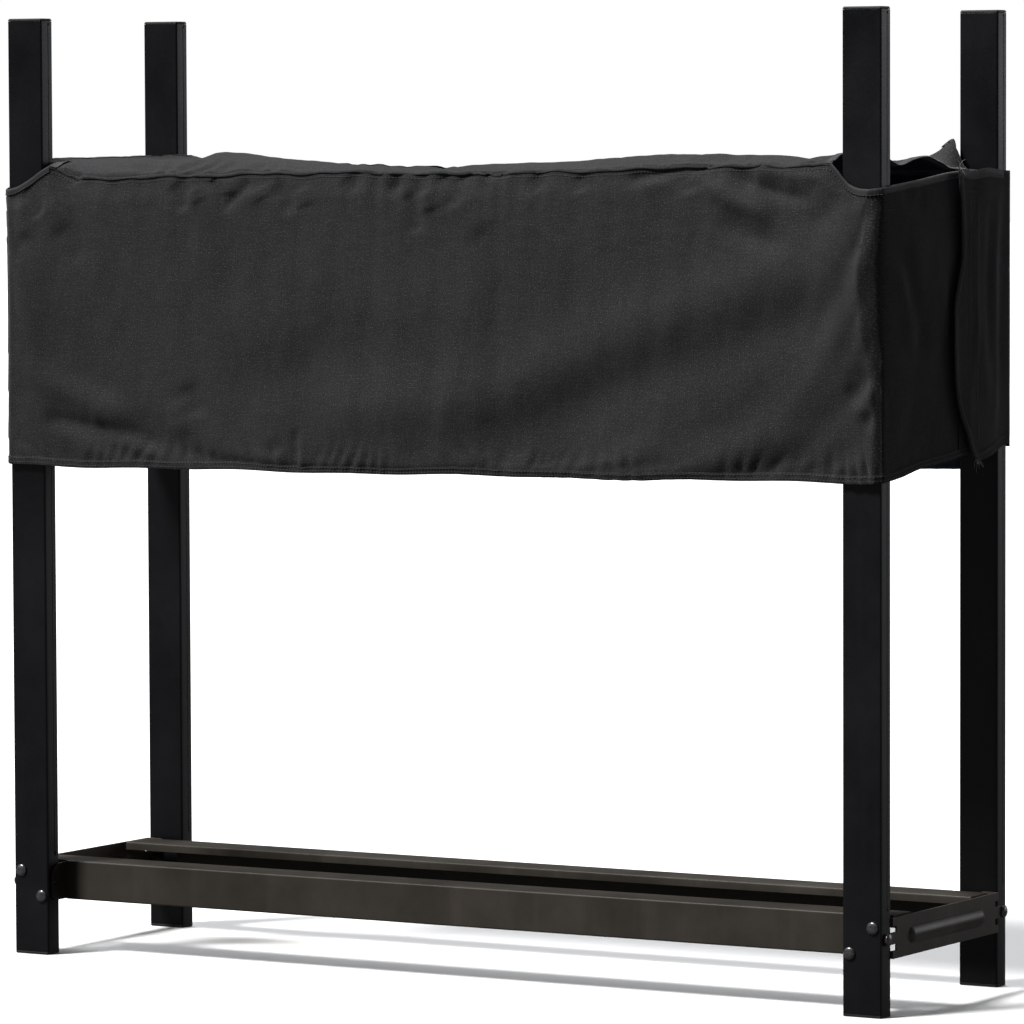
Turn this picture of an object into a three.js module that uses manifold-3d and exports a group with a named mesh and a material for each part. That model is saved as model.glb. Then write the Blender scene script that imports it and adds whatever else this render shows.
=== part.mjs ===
// Firewood log rack: four rectangular-tube posts, two long base rails, two
// embossed end rails, the bolts that join them, and a fabric cover that slides
// up and down on the posts. Millimetres, +Z up, front is -Y, origin on the
// ground in the middle of the rack.
import * as THREE from 'three';
import { mergeVertices } from 'three/addons/utils/BufferGeometryUtils.js';
import Module from 'manifold-3d';

const wasm = await Module();
wasm.setup();

// ---------------------------------------------------------------- dimensions
const RACK_L = 1220;            // over the outer faces of the posts (48 in)
const RACK_D = 330;             // over the front and back faces of the posts (13 in)
const RACK_H = 1170;            // foot to the top of the cap (46 in)
const TUBE_W = 50.8;            // post section, wide side along X (2 in)
const TUBE_T = 25.4;            // post section, narrow side along Y (1 in)
const TUBE_WALL = 1.6;
const TUBE_R = 3.0;             // outside corner radius of the tube
const CAP_T = 3.0;              // plate thickness of the top caps and feet
const PLUG_H = 16;              // depth of the plug that pushes into the tube
const GAP = 0.3;                // seating gap between touching pieces

const SHEET = 2.0;              // base rail sheet thickness
const RAIL_LO = 67;             // underside of the base rails
const RAIL_HI = 116;            // top of the base rails
const WEB_SETBACK = 37;         // rail web behind the face of the post
const FLANGE_D = 50;            // width of the top flange that the logs rest on
const LIP_H = 10;               // stiffening lip along the inner edge of the flange
const RETURN_D = 12;            // return along the bottom of the web
const EAR_FRONT = 7;            // ear edge behind the face of the post

const RIB_R = 14.6;             // radius of the pressed rib in the end rail
const RIB_RISE = 5.0;           // height of the rib above the sheet
const RIB_HALF = 100;           // half length of the rib
const TONGUE_H = 14;            // height of the tongue over the post
const TONGUE_Z = 91;            // height of the tongue's bolt

const BOLT_R = 3.1;             // quarter-inch bolt shank
const HOLE_R = 3.5;
const HEAD_R = 7.5;             // domed head
const HEAD_H = 3.7;
const NUT_AF = 11.1;            // nut across flats
const NUT_H = 5.5;
const BOLT_UP = { in: 11.0, z: 105 };   // upper face bolt: from the outer edge
const BOLT_LO = { in: 41.3, z: 74 };    // lower face bolt: from the outer edge

const CLOTH = 2.0;              // cover fabric with its lining and seam allowance
const CLEAR = 2.0;              // running clearance of the cover on the posts
const HEM_Z = 618;              // lower edge of the front and back panels
const SEAM_Z = 985;             // seam between the top and the front and back
const CROWN = 18;               // rise of the top panel in the middle
const OPEN_X = 547;             // where the post openings start
const TOP_TAB_X = 592;          // end edge of the top panel between the posts
const TOP_TAB_Y = 132;
const END_Y1 = 110;             // rear edge of the end panel, under the flap
const FLAP_Y0 = 38;             // free edge of the rear flap
const FLAP_LO = 640;
const FLAP_HI = 972;
const STRIP = 1.0;              // thickness of the hook and loop strips
const STRIP_Y = [28, 66];
const TAPE = 0.8;               // binding tape thickness
const TAPE_W = 10;

// ------------------------------------------------------------------- helpers
const weld = (geometry) => {
  const g = geometry.clone();
  for (const key of Object.keys(g.attributes)) if (key !== 'position') g.deleteAttribute(key);
  const m = mergeVertices(g, 1e-4);
  const pos = m.attributes.position;
  const verts = new Float32Array(pos.count * 3);
  for (let i = 0; i < pos.count; i++) verts.set([pos.getX(i), pos.getY(i), pos.getZ(i)], i * 3);
  const tris = [];
  let volume = 0;
  for (let i = 0; i < m.index.count; i += 3) {
    const [a, b, c] = [m.index.getX(i), m.index.getX(i + 1), m.index.getX(i + 2)];
    if (a === b || b === c || a === c) continue;
    tris.push(a, b, c);
    const A = verts.subarray(a * 3, a * 3 + 3);
    const B = verts.subarray(b * 3, b * 3 + 3);
    const C = verts.subarray(c * 3, c * 3 + 3);
    volume += A[0] * (B[1] * C[2] - B[2] * C[1]) - A[1] * (B[0] * C[2] - B[2] * C[0])
      + A[2] * (B[0] * C[1] - B[1] * C[0]);
  }
  if (volume < 0) for (let i = 0; i < tris.length; i += 3) [tris[i], tris[i + 1]] = [tris[i + 1], tris[i]];
  return { verts, tris: new Uint32Array(tris) };
};

const solid = (geometry) => {
  const { verts, tris } = weld(geometry);
  return new wasm.Manifold(new wasm.Mesh({ numProp: 3, vertProperties: verts, triVerts: tris }));
};

const fromSolid = (s) => {
  const mesh = s.getMesh();
  const g = new THREE.BufferGeometry();
  g.setAttribute('position', new THREE.BufferAttribute(new Float32Array(mesh.vertProperties), 3));
  g.setIndex(new THREE.BufferAttribute(new Uint32Array(mesh.triVerts), 1));
  return g;
};

const clean = (geometry) => {
  const { verts, tris } = weld(geometry);
  const g = new THREE.BufferGeometry();
  g.setAttribute('position', new THREE.BufferAttribute(verts, 3));
  g.setIndex(new THREE.BufferAttribute(tris, 1));
  return g;
};

// reflects a geometry in x and/or y and keeps its faces pointing out
const reflect = (geometry, sx, sy) => {
  const g = geometry.clone();
  g.applyMatrix4(new THREE.Matrix4().makeScale(sx, sy, 1));
  return clean(g);
};

const moved = (g, x, y, z) => g.clone().translate(x, y, z);

const box = (x0, x1, y0, y1, z0, z1) => moved(
  new THREE.BoxGeometry(x1 - x0, y1 - y0, z1 - z0),
  (x0 + x1) / 2, (y0 + y1) / 2, (z0 + z1) / 2);

const shapeOf = (points) => new THREE.Shape(points.map(([x, y]) => new THREE.Vector2(x, y)));

// prism with its outline in XY, standing from z0 to z1
const prismXY = (points, z0, z1) => moved(
  new THREE.ExtrudeGeometry(shapeOf(points), { depth: z1 - z0, bevelEnabled: false }), 0, 0, z0);

// prism with its outline in XZ, running from y0 to y1
const prismXZ = (points, y0, y1) => {
  const g = new THREE.ExtrudeGeometry(shapeOf(points), { depth: y1 - y0, bevelEnabled: false });
  g.rotateX(Math.PI / 2);             // (x, y, z) -> (x, -z, y)
  return g.translate(0, y1, 0);
};

// prism with its outline in YZ, running from x0 to x1
const prismYZ = (points, x0, x1) => {
  const g = new THREE.ExtrudeGeometry(shapeOf(points), { depth: x1 - x0, bevelEnabled: false });
  g.applyMatrix4(new THREE.Matrix4().set(
    0, 0, 1, 0,
    1, 0, 0, 0,
    0, 1, 0, 0,
    0, 0, 0, 1));
  return g.translate(x0, 0, 0);
};

const roundRect = (w, h, r, n = 3) => {
  const pts = [];
  const corners = [[w / 2 - r, h / 2 - r, 0], [-w / 2 + r, h / 2 - r, 90],
    [-w / 2 + r, -h / 2 + r, 180], [w / 2 - r, -h / 2 + r, 270]];
  for (const [cx, cy, a0] of corners) {
    for (let i = 0; i <= n; i++) {
      const a = (a0 + 90 * i / n) * Math.PI / 180;
      pts.push([cx + r * Math.cos(a), cy + r * Math.sin(a)]);
    }
  }
  return pts;
};

// turned solid about the Z axis: profile rows are [radius, z]
const turned = (profile, n = 16) => new THREE.LatheGeometry(
  profile.map(([r, z]) => new THREE.Vector2(r, z)), n).rotateX(Math.PI / 2);

const rodY = (r, x, z, y0, y1, n = 16) => turned([[0, 0], [r, 0], [r, y1 - y0], [0, y1 - y0]], n)
  .rotateX(-Math.PI / 2).translate(x, y0, z);

const rodX = (r, y, z, x0, x1, n = 16) => turned([[0, 0], [r, 0], [r, x1 - x0], [0, x1 - x0]], n)
  .rotateY(Math.PI / 2).translate(x0, y, z);

// ----------------------------------------------------------------- materials
const paint = (color, roughness = 0.38) => new THREE.MeshStandardMaterial({
  color, roughness, metalness: 0.35, flatShading: true });
const plastic = () => new THREE.MeshStandardMaterial({
  color: 0x1b1b1d, roughness: 0.55, metalness: 0.0, flatShading: true });
const zinc = () => new THREE.MeshStandardMaterial({
  color: 0x2b2b2e, roughness: 0.3, metalness: 0.7, flatShading: true });
const fabric = (color = 0x2c2c2f) => new THREE.MeshStandardMaterial({
  color, roughness: 0.85, metalness: 0.0, flatShading: true });

const rack = new THREE.Group();
const frame = new THREE.Group();
const cover = new THREE.Group();
rack.add(frame, cover);

const add = (group, name, geometry, material, at = [0, 0, 0]) => {
  const g = clean(geometry);
  g.computeVertexNormals();
  const mesh = new THREE.Mesh(g, material);
  mesh.name = name;
  mesh.position.set(...at);
  group.add(mesh);
};

// --------------------------------------------------------------------- posts
const PX = RACK_L / 2 - TUBE_W / 2;   // post centre, x
const PY = RACK_D / 2 - TUBE_T / 2;   // post centre, y

// front right post in its own frame: +x is the outer side, -y is the face
const postSolid = () => {
  const z0 = CAP_T + GAP;
  const z1 = RACK_H - CAP_T - GAP;
  let s = solid(prismXY(roundRect(TUBE_W, TUBE_T, TUBE_R), z0, z1));
  s = s.subtract(solid(prismXY(
    roundRect(TUBE_W - 2 * TUBE_WALL, TUBE_T - 2 * TUBE_WALL, TUBE_R - TUBE_WALL, 2), z0 - 5, z1 + 5)));
  for (const b of [BOLT_UP, BOLT_LO]) {
    s = s.subtract(solid(rodY(HOLE_R, TUBE_W / 2 - b.in, b.z, -TUBE_T, TUBE_T, 12)));
  }
  return s.subtract(solid(rodX(HOLE_R, 0, TONGUE_Z, -TUBE_W, TUBE_W, 12)));
};
const postRight = fromSolid(postSolid());
const postLeft = reflect(postRight, -1, 1);

// end plate with a shallow crown and a plug for the bore of the tube
const endPlate = (crown) => {
  const layers = [[0, 0], [crown, 0.9]];
  let s = solid(prismXY(roundRect(TUBE_W, TUBE_T, TUBE_R), 0, CAP_T - crown));
  for (let i = 1; i < layers.length; i++) {
    const [z, inset] = layers[i];
    const [zp] = layers[i - 1];
    s = s.add(solid(prismXY(
      roundRect(TUBE_W - 2 * inset, TUBE_T - 2 * inset, TUBE_R - inset * 0.6),
      CAP_T - crown + zp - 0.01, CAP_T - crown + z)));
  }
  const w = TUBE_W - 2 * TUBE_WALL - 2 * GAP;
  const t = TUBE_T - 2 * TUBE_WALL - 2 * GAP;
  s = s.add(solid(prismXY(roundRect(w, t, 1.2, 1), -PLUG_H, 0.01)));
  return fromSolid(s.subtract(solid(prismXY(roundRect(w - 4, t - 4, 1, 1), -PLUG_H - 1, -1))));
};
const topCap = endPlate(1.2);
const footCap = reflect(endPlate(0.6).rotateX(Math.PI), 1, 1);

for (const [sy, fb] of [[-1, 'front'], [1, 'back']]) {
  for (const [sx, lr] of [[-1, 'left'], [1, 'right']]) {
    const at = [sx * PX, sy * PY];
    add(frame, `post_${fb}_${lr}`, sx > 0 ? postRight : postLeft, paint(0x232326), [...at, 0]);
    add(frame, `top_cap_${fb}_${lr}`, topCap, plastic(), [...at, RACK_H - CAP_T]);
    add(frame, `foot_${fb}_${lr}`, footCap, plastic(), [...at, CAP_T]);
  }
}

// ---------------------------------------------------------------- long rails
// front rail; the back rail is its reflection
const FACE = -RACK_D / 2;
const WEB_Y = FACE + WEB_SETBACK;
const INNER_X = RACK_L / 2 - TUBE_W;           // inner face of the posts
const longRail = () => {
  const y0 = WEB_Y;
  const y1 = WEB_Y + FLANGE_D;
  const r = 2.6;
  const k = r * (1 - Math.SQRT1_2);
  const xe = INNER_X - GAP - SHEET + 0.5;
  const outline = [
    [y0, RAIL_LO + r], [y0, RAIL_HI - r], [y0 + k, RAIL_HI - k], [y0 + r, RAIL_HI],
    [y1 - r, RAIL_HI], [y1 - k, RAIL_HI - k], [y1, RAIL_HI - r], [y1, RAIL_HI - LIP_H],
    [y1 - SHEET, RAIL_HI - LIP_H], [y1 - SHEET, RAIL_HI - SHEET],
    [y0 + SHEET, RAIL_HI - SHEET], [y0 + SHEET, RAIL_LO + SHEET],
    [y0 + RETURN_D, RAIL_LO + SHEET], [y0 + RETURN_D, RAIL_LO],
    [y0 + r, RAIL_LO], [y0 + k, RAIL_LO + k]];
  let s = solid(prismYZ(outline, -xe, xe));
  const over = INNER_X + TUBE_W - 5;            // flange runs on behind the post
  s = s.add(solid(prismYZ([
    [y0 + 4, RAIL_HI - SHEET], [y0 + 4, RAIL_HI], [y1 - r, RAIL_HI], [y1 - k, RAIL_HI - k],
    [y1, RAIL_HI - r], [y1, RAIL_HI - LIP_H], [y1 - SHEET, RAIL_HI - LIP_H],
    [y1 - SHEET, RAIL_HI - SHEET]], -over, over)));
  const ye = FACE + EAR_FRONT;
  const ear = [
    [y0 + SHEET, RAIL_LO + 1], [y0 + SHEET, RAIL_HI - 1.5], [y0 - 8, RAIL_HI - 1.5],
    [ye + 11, RAIL_HI - 3], [ye + 5, RAIL_HI - 5.5], [ye + 1.5, RAIL_HI - 9], [ye, RAIL_HI - 13],
    [ye, RAIL_LO + 7], [ye + 2, RAIL_LO + 3.5], [ye + 6, RAIL_LO + 1]];
  for (const sx of [-1, 1]) {
    const a = sx * (INNER_X - GAP);
    const b = sx * (INNER_X - GAP - SHEET);
    s = s.add(solid(prismYZ(ear, Math.min(a, b), Math.max(a, b))));
    s = s.subtract(solid(rodX(HOLE_R, FACE + TUBE_T / 2, TONGUE_Z, a - 4, a + 4, 12)));
  }
  return fromSolid(s);
};
const railFront = longRail();
add(frame, 'base_rail_front', railFront, paint(0x242423));
add(frame, 'base_rail_back', reflect(railFront, 1, -1), paint(0x242423));

// ----------------------------------------------------------------- end rails
// right end rail; the left end rail is its reflection
const endRail = () => {
  const x0 = RACK_L / 2 + GAP;                   // inner side of the sheet
  const x1 = x0 + SHEET;
  const yf = RACK_D / 2 - TUBE_T - GAP;          // posts' inner faces, less the gap
  const lo = RAIL_LO;
  const hi = RAIL_HI - 1;
  let s = solid(box(x0, x1, -yf, yf, lo, hi));
  for (const sy of [-1, 1]) {
    // relief notches above and below the tongue
    const a = sy * yf;
    for (const [z0, z1] of [[TONGUE_Z - TONGUE_H / 2 - 7.5, TONGUE_Z - TONGUE_H / 2],
      [TONGUE_Z + TONGUE_H / 2, TONGUE_Z + TONGUE_H / 2 + 7]]) {
      s = s.subtract(solid(box(x0 - 1, x1 + 1, Math.min(a - sy * 9, a + sy), Math.max(a - sy * 9, a + sy), z0, z1)));
    }
    // tongue with a round end over the post's outer face
    const yb = sy * (RACK_D / 2 - TUBE_T / 2);
    s = s.add(solid(box(x0, x1, Math.min(a - sy * 10, yb), Math.max(a - sy * 10, yb),
      TONGUE_Z - TONGUE_H / 2, TONGUE_Z + TONGUE_H / 2)));
    s = s.add(solid(rodX(TONGUE_H / 2, yb, TONGUE_Z, x0, x1, 20)));
    s = s.subtract(solid(rodX(HOLE_R, yb, TONGUE_Z, x0 - 3, x1 + 3, 12)));
    // lugs turned in against the post, a short upper and a long lower one
    const xo = RACK_L / 2;
    const ya = Math.min(a, a - sy * SHEET);
    const yc = Math.max(a, a - sy * SHEET);
    const upper = [[x1, hi], [xo - 19, hi], [xo - 22, hi - 3], [xo - 22, 100], [xo - 18, 96.5],
      [xo - 5, 96.5], [xo - 3, 99], [xo - 3, 105], [x1, 105]];
    const lower = [[x1, lo], [x1, 76.5], [xo - 3, 76.5], [xo - 3, 80], [xo - 6, 83], [xo - 45, 83],
      [xo - 49, 79], [xo - 49, lo + 3], [xo - 46, lo]];
    for (const [outline, b] of [[upper, BOLT_UP], [lower, BOLT_LO]]) {
      s = s.add(solid(prismXZ(outline, ya, yc)));
      s = s.subtract(solid(rodY(HOLE_R, xo - b.in, b.z, ya - 2, yc + 2, 12)));
    }
  }
  // pressed rib, standing out of the outer face, open behind
  const rib = (r, half) => {
    const pts = [];
    for (let i = 0; i <= 4; i++) {
      const t = i / 4 * Math.PI / 2;
      pts.push([r * Math.sin(t), -half + r * (1 - Math.cos(t)) - r * 0.2]);
    }
    const mirrored = pts.slice().reverse().map(([a, b]) => [a, -b]);
    return turned([...pts, ...mirrored], 24).rotateX(-Math.PI / 2);
  };
  const cx = x1 + RIB_RISE - RIB_R;
  const zc = (lo + hi) / 2 - 0.5;
  const front = solid(box(x0 + 0.1, x1 + 20, -150, 150, 60, 130));
  s = s.add(solid(rib(RIB_R, RIB_HALF).translate(cx, 0, zc)).intersect(front));
  s = s.subtract(solid(rib(RIB_R - SHEET, RIB_HALF - SHEET).translate(cx, 0, zc)));
  return fromSolid(s);
};
const railRight = endRail();
add(frame, 'end_rail_right', railRight, paint(0x27231f));
add(frame, 'end_rail_left', reflect(railRight, -1, 1), paint(0x27231f));

// ----------------------------------------------------------------- fasteners
// bolt along -z: head above z = 0, shank below
const bolt = (length) => turned([
  [0, -length], [BOLT_R, -length], [BOLT_R, 0], [HEAD_R, 0],
  [HEAD_R, 0.5], [HEAD_R * 0.8, HEAD_H * 0.65], [0, HEAD_H]], 12);
const hexNut = () => {
  const pts = [];
  for (let i = 0; i < 6; i++) {
    const a = i * Math.PI / 3;
    pts.push([NUT_AF / Math.sqrt(3) * Math.cos(a), NUT_AF / Math.sqrt(3) * Math.sin(a)]);
  }
  const bore = turned([[0, -1], [BOLT_R + GAP, -1], [BOLT_R + GAP, NUT_H + 1], [0, NUT_H + 1]], 12);
  return fromSolid(solid(prismXY(pts, 0, NUT_H)).subtract(solid(bore)));
};
const nut = hexNut();
const faceBoltLen = TUBE_T + 2 * GAP + SHEET + GAP + NUT_H + 1.2;
const sideBoltLen = GAP + SHEET + 2 * GAP + TUBE_W + SHEET - 0.4;

for (const [sy, fb] of [[-1, 'front'], [1, 'back']]) {
  for (const [sx, lr] of [[-1, 'left'], [1, 'right']]) {
    const tilt = (g) => g.clone().rotateX(sy < 0 ? Math.PI / 2 : -Math.PI / 2);
    for (const [b, level] of [[BOLT_UP, 'upper'], [BOLT_LO, 'lower']]) {
      const x = sx * (RACK_L / 2 - b.in);
      add(frame, `face_bolt_${fb}_${lr}_${level}`, tilt(bolt(faceBoltLen)), zinc(),
        [x, sy * (RACK_D / 2 + GAP), b.z]);
      add(frame, `nut_${fb}_${lr}_${level}`, tilt(nut), zinc(),
        [x, sy * (RACK_D / 2 - TUBE_T - 2 * GAP - SHEET - NUT_H), b.z]);
    }
    add(frame, `side_bolt_${fb}_${lr}`, bolt(sideBoltLen).rotateY(sx > 0 ? Math.PI / 2 : -Math.PI / 2),
      zinc(), [sx * (RACK_L / 2 + 2 * GAP + SHEET), sy * (RACK_D / 2 - TUBE_T / 2), TONGUE_Z]);
  }
}

// --------------------------------------------------------------------- cover
const CF = FACE - CLEAR;                // inner side of the front panel
const CX = RACK_L / 2 + CLEAR;          // inner side of the end panels
// edge of the post opening, from the seam down to the outer corner
const scoop = [[OPEN_X, SEAM_Z], [556, 976], [566, 967], [579, 961.5], [593, 959], [CX + CLOTH, 958.5]];
const wall = () => {
  const right = scoop.slice().reverse();
  const left = scoop.map(([x, z]) => [-x, z]);
  return prismXZ([[-CX - CLOTH, HEM_Z], [CX + CLOTH, HEM_Z], ...right, ...left], CF - CLOTH, CF);
};
const frontPanel = wall();
add(cover, 'cover_front_panel', frontPanel, fabric());
add(cover, 'cover_back_panel', reflect(frontPanel, 1, -1), fabric());

const topPanel = () => {
  const half = RACK_D / 2 + CLEAR - GAP;
  const n = 12;
  const up = [];
  const down = [];
  for (let i = 0; i <= n; i++) {
    const t = -1 + 2 * i / n;
    const z = SEAM_Z - CLOTH + CROWN * (1 - Math.pow(Math.abs(t), 2.6));
    down.push([t * half, z]);
    up.push([t * half, z + CLOTH]);
  }
  let s = solid(prismYZ([...down, ...up.reverse()], -TOP_TAB_X, TOP_TAB_X));
  for (const sx of [-1, 1]) {
    for (const sy of [-1, 1]) {
      const x = [sx * OPEN_X, sx * (TOP_TAB_X + 5)].sort((a, b) => a - b);
      const y = [sy * TOP_TAB_Y, sy * (half + 5)].sort((a, b) => a - b);
      s = s.subtract(solid(box(...x, ...y, SEAM_Z - 60, SEAM_Z + 60)));
    }
  }
  return fromSolid(s);
};
add(cover, 'cover_top_panel', topPanel(), fabric(0x3a3a3d));

// end panel: the hem and the top edge both rise towards the back
const endEdge = [[CF + GAP, 958.5], [-60, 967], [20, 975], [END_Y1, 977]];
const endPanel = prismYZ([[CF + GAP, 620], [END_Y1, 640], ...endEdge.slice().reverse()], CX, CX + CLOTH);
add(cover, 'cover_end_panel_right', endPanel, fabric(0x1c1c1e));
add(cover, 'cover_end_panel_left', reflect(endPanel, -1, 1), fabric(0x1c1c1e));

const xs = CX + CLOTH + GAP;            // loop strip on the end panel
const loopStrip = box(xs, xs + STRIP, ...STRIP_Y, 652, 962);
add(cover, 'loop_strip_right', loopStrip, fabric(0x121214));
add(cover, 'loop_strip_left', reflect(loopStrip, -1, 1), fabric(0x121214));

// binding tape round the post openings, on the outer side of the cloth
const band = (edge) => [...edge, ...edge.slice().reverse().map(([x, z]) => [x, z - TAPE_W])];
const frontTape = prismXZ(band(scoop.map(([x, z]) => [x + 0.6, z - 0.2])
  .map(([x, z]) => [Math.min(x, CX + CLOTH), z])), CF - CLOTH - GAP - TAPE, CF - CLOTH - GAP);
add(cover, 'opening_tape_front_right', frontTape, fabric(0x161618));
add(cover, 'opening_tape_front_left', reflect(frontTape, -1, 1), fabric(0x161618));
add(cover, 'opening_tape_back_right', reflect(frontTape, 1, -1), fabric(0x161618));
add(cover, 'opening_tape_back_left', reflect(frontTape, -1, -1), fabric(0x161618));
const endTape = prismYZ(band([[CF + GAP, 958.3], [-60, 966.8], [20, 974.8 - 0.2], [STRIP_Y[0] - 2, 975]]),
  xs, xs + TAPE);
add(cover, 'opening_tape_end_right', endTape, fabric(0x161618));
add(cover, 'opening_tape_end_left', reflect(endTape, -1, 1), fabric(0x161618));

// rear flap, wrapped round the back post and closed on the end panel
const xh = xs + STRIP + GAP;            // hook strip on the flap
const hookStrip = box(xh, xh + STRIP, FLAP_Y0 + 4, STRIP_Y[1], 656, 958);
add(cover, 'hook_strip_right', hookStrip, fabric(0x121214));
add(cover, 'hook_strip_left', reflect(hookStrip, -1, 1), fabric(0x121214));
const xf = xh + STRIP + GAP;
const flap = prismYZ([[FLAP_Y0, FLAP_LO], [-CF - GAP, FLAP_LO + 8], [-CF - GAP, FLAP_HI],
  [FLAP_Y0, FLAP_HI + 4]], xf, xf + CLOTH);
add(cover, 'cover_flap_right', flap, fabric(0x1f1f21));
add(cover, 'cover_flap_left', reflect(flap, -1, 1), fabric(0x1f1f21));

export default rack;
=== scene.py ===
import bpy, bmesh, math
import numpy as np
from mathutils import Vector, Matrix
from mathutils.bvhtree import BVHTree


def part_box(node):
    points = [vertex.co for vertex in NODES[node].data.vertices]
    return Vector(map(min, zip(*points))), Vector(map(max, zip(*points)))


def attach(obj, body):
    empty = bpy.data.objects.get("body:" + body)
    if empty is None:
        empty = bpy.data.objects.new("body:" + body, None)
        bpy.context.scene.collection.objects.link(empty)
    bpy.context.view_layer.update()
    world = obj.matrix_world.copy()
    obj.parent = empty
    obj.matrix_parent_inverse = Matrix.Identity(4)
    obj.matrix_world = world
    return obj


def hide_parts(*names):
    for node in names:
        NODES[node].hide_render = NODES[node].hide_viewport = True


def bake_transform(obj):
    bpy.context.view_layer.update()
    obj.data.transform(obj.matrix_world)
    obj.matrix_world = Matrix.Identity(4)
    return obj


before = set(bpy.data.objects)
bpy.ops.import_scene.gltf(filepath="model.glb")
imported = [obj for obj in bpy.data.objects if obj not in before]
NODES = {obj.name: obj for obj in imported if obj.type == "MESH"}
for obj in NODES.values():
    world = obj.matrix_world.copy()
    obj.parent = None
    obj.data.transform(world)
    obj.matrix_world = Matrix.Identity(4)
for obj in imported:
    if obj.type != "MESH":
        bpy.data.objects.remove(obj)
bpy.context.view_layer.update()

SC = bpy.context.scene
COL = SC.collection

# ------------------------------------------------------------------ camera
AZ, EL, ROLL = math.radians(30.442), math.radians(3.5007), math.radians(-0.2192)
back = Vector((math.sin(AZ) * math.cos(EL), -math.cos(AZ) * math.cos(EL), math.sin(EL)))
right = Vector((math.cos(AZ), math.sin(AZ), 0))
up = back.cross(right)
r2 = math.cos(ROLL) * right + math.sin(ROLL) * up
u2 = -math.sin(ROLL) * right + math.cos(ROLL) * up
cam_data = bpy.data.cameras.new("camera")
cam = bpy.data.objects.new("camera", cam_data)
COL.objects.link(cam)
cam_data.sensor_width = 36.0
cam_data.lens = 220.33
cam_data.clip_end = 300
m = Matrix.Identity(4)
for k, v in enumerate((r2, u2, back)):
    for i in range(3):
        m[i][k] = v[i]
m.translation = Vector((0.01962, 0, 0.56314)) + back * 7.6652
cam.matrix_world = m
SC.camera = cam


# ------------------------------------------------------------------ helpers
def link(name, mesh, *mats):
    o = bpy.data.objects.new(name, mesh)
    COL.objects.link(o)
    for mt in mats:
        mesh.materials.append(mt)
    return o


def mesh_from(name, verts, faces, smooth=True):
    me = bpy.data.meshes.new(name)
    me.from_pydata([tuple(map(float, v)) for v in verts], [], [tuple(map(int, f)) for f in faces])
    me.validate()
    if smooth:
        me.shade_smooth()
    me.update()
    return me


def bake(o):
    """The object's modifiers, applied to its mesh."""
    dg = bpy.context.evaluated_depsgraph_get()
    dg.update()
    me = bpy.data.meshes.new_from_object(o.evaluated_get(dg), depsgraph=dg)
    o.modifiers.clear()
    old, name = o.data, o.data.name
    o.data = me
    bpy.data.meshes.remove(old)
    me.name = name
    return o


class Mat:
    """A Principled material with short ways to add nodes."""

    def __init__(self, name, **sockets):
        self.m = bpy.data.materials.new(name)
        self.m.use_nodes = True
        self.t = self.m.node_tree
        self.t.nodes.clear()
        out = self.t.nodes.new("ShaderNodeOutputMaterial")
        self.b = self.t.nodes.new("ShaderNodeBsdfPrincipled")
        self.t.links.new(self.b.outputs[0], out.inputs[0])
        for k, v in sockets.items():
            self.b.inputs[k.replace("_", " ")].default_value = v

    def n(self, kind, ins=None, out=0, **props):
        x = self.t.nodes.new("ShaderNode" + kind)
        for k, v in props.items():
            setattr(x, k, v)
        for k, v in (ins or {}).items():
            if isinstance(v, bpy.types.NodeSocket):
                self.t.links.new(v, x.inputs[k])
            else:
                x.inputs[k].default_value = v
        return x.outputs[out]

    def math(self, op, a, b=0.0, c=None, clamp=False):
        ins = {0: a, 1: b}
        if c is not None:
            ins[2] = c
        return self.n("Math", ins, operation=op, use_clamp=clamp)

    def noise(self, vec, scale, detail=2.0, rough=0.5):
        return self.n("TexNoise", {"Vector": vec, "Scale": scale, "Detail": detail, "Roughness": rough})

    def ramp(self, fac, lo, hi, a, b):
        """fac from lo..hi mapped to a..b."""
        return self.n("MapRange", {0: fac, 1: lo, 2: hi, 3: a, 4: b}, clamp=True)

    def mix(self, fac, a, b):
        x = self.t.nodes.new("ShaderNodeMix")
        x.data_type = "RGBA"
        for i, v in ((0, fac), (6, a), (7, b)):
            if isinstance(v, bpy.types.NodeSocket):
                self.t.links.new(v, x.inputs[i])
            else:
                x.inputs[i].default_value = v
        return x.outputs[2]

    def to(self, socket, value):
        self.t.links.new(value, self.b.inputs[socket])

    def bump(self, height, dist, strength=1.0, normal=None):
        ins = {"Height": height, "Distance": dist, "Strength": strength}
        if normal is not None:
            ins["Normal"] = normal
        return self.n("Bump", ins)


def rgb(r, g, b):
    return (r, g, b, 1.0)


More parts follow.
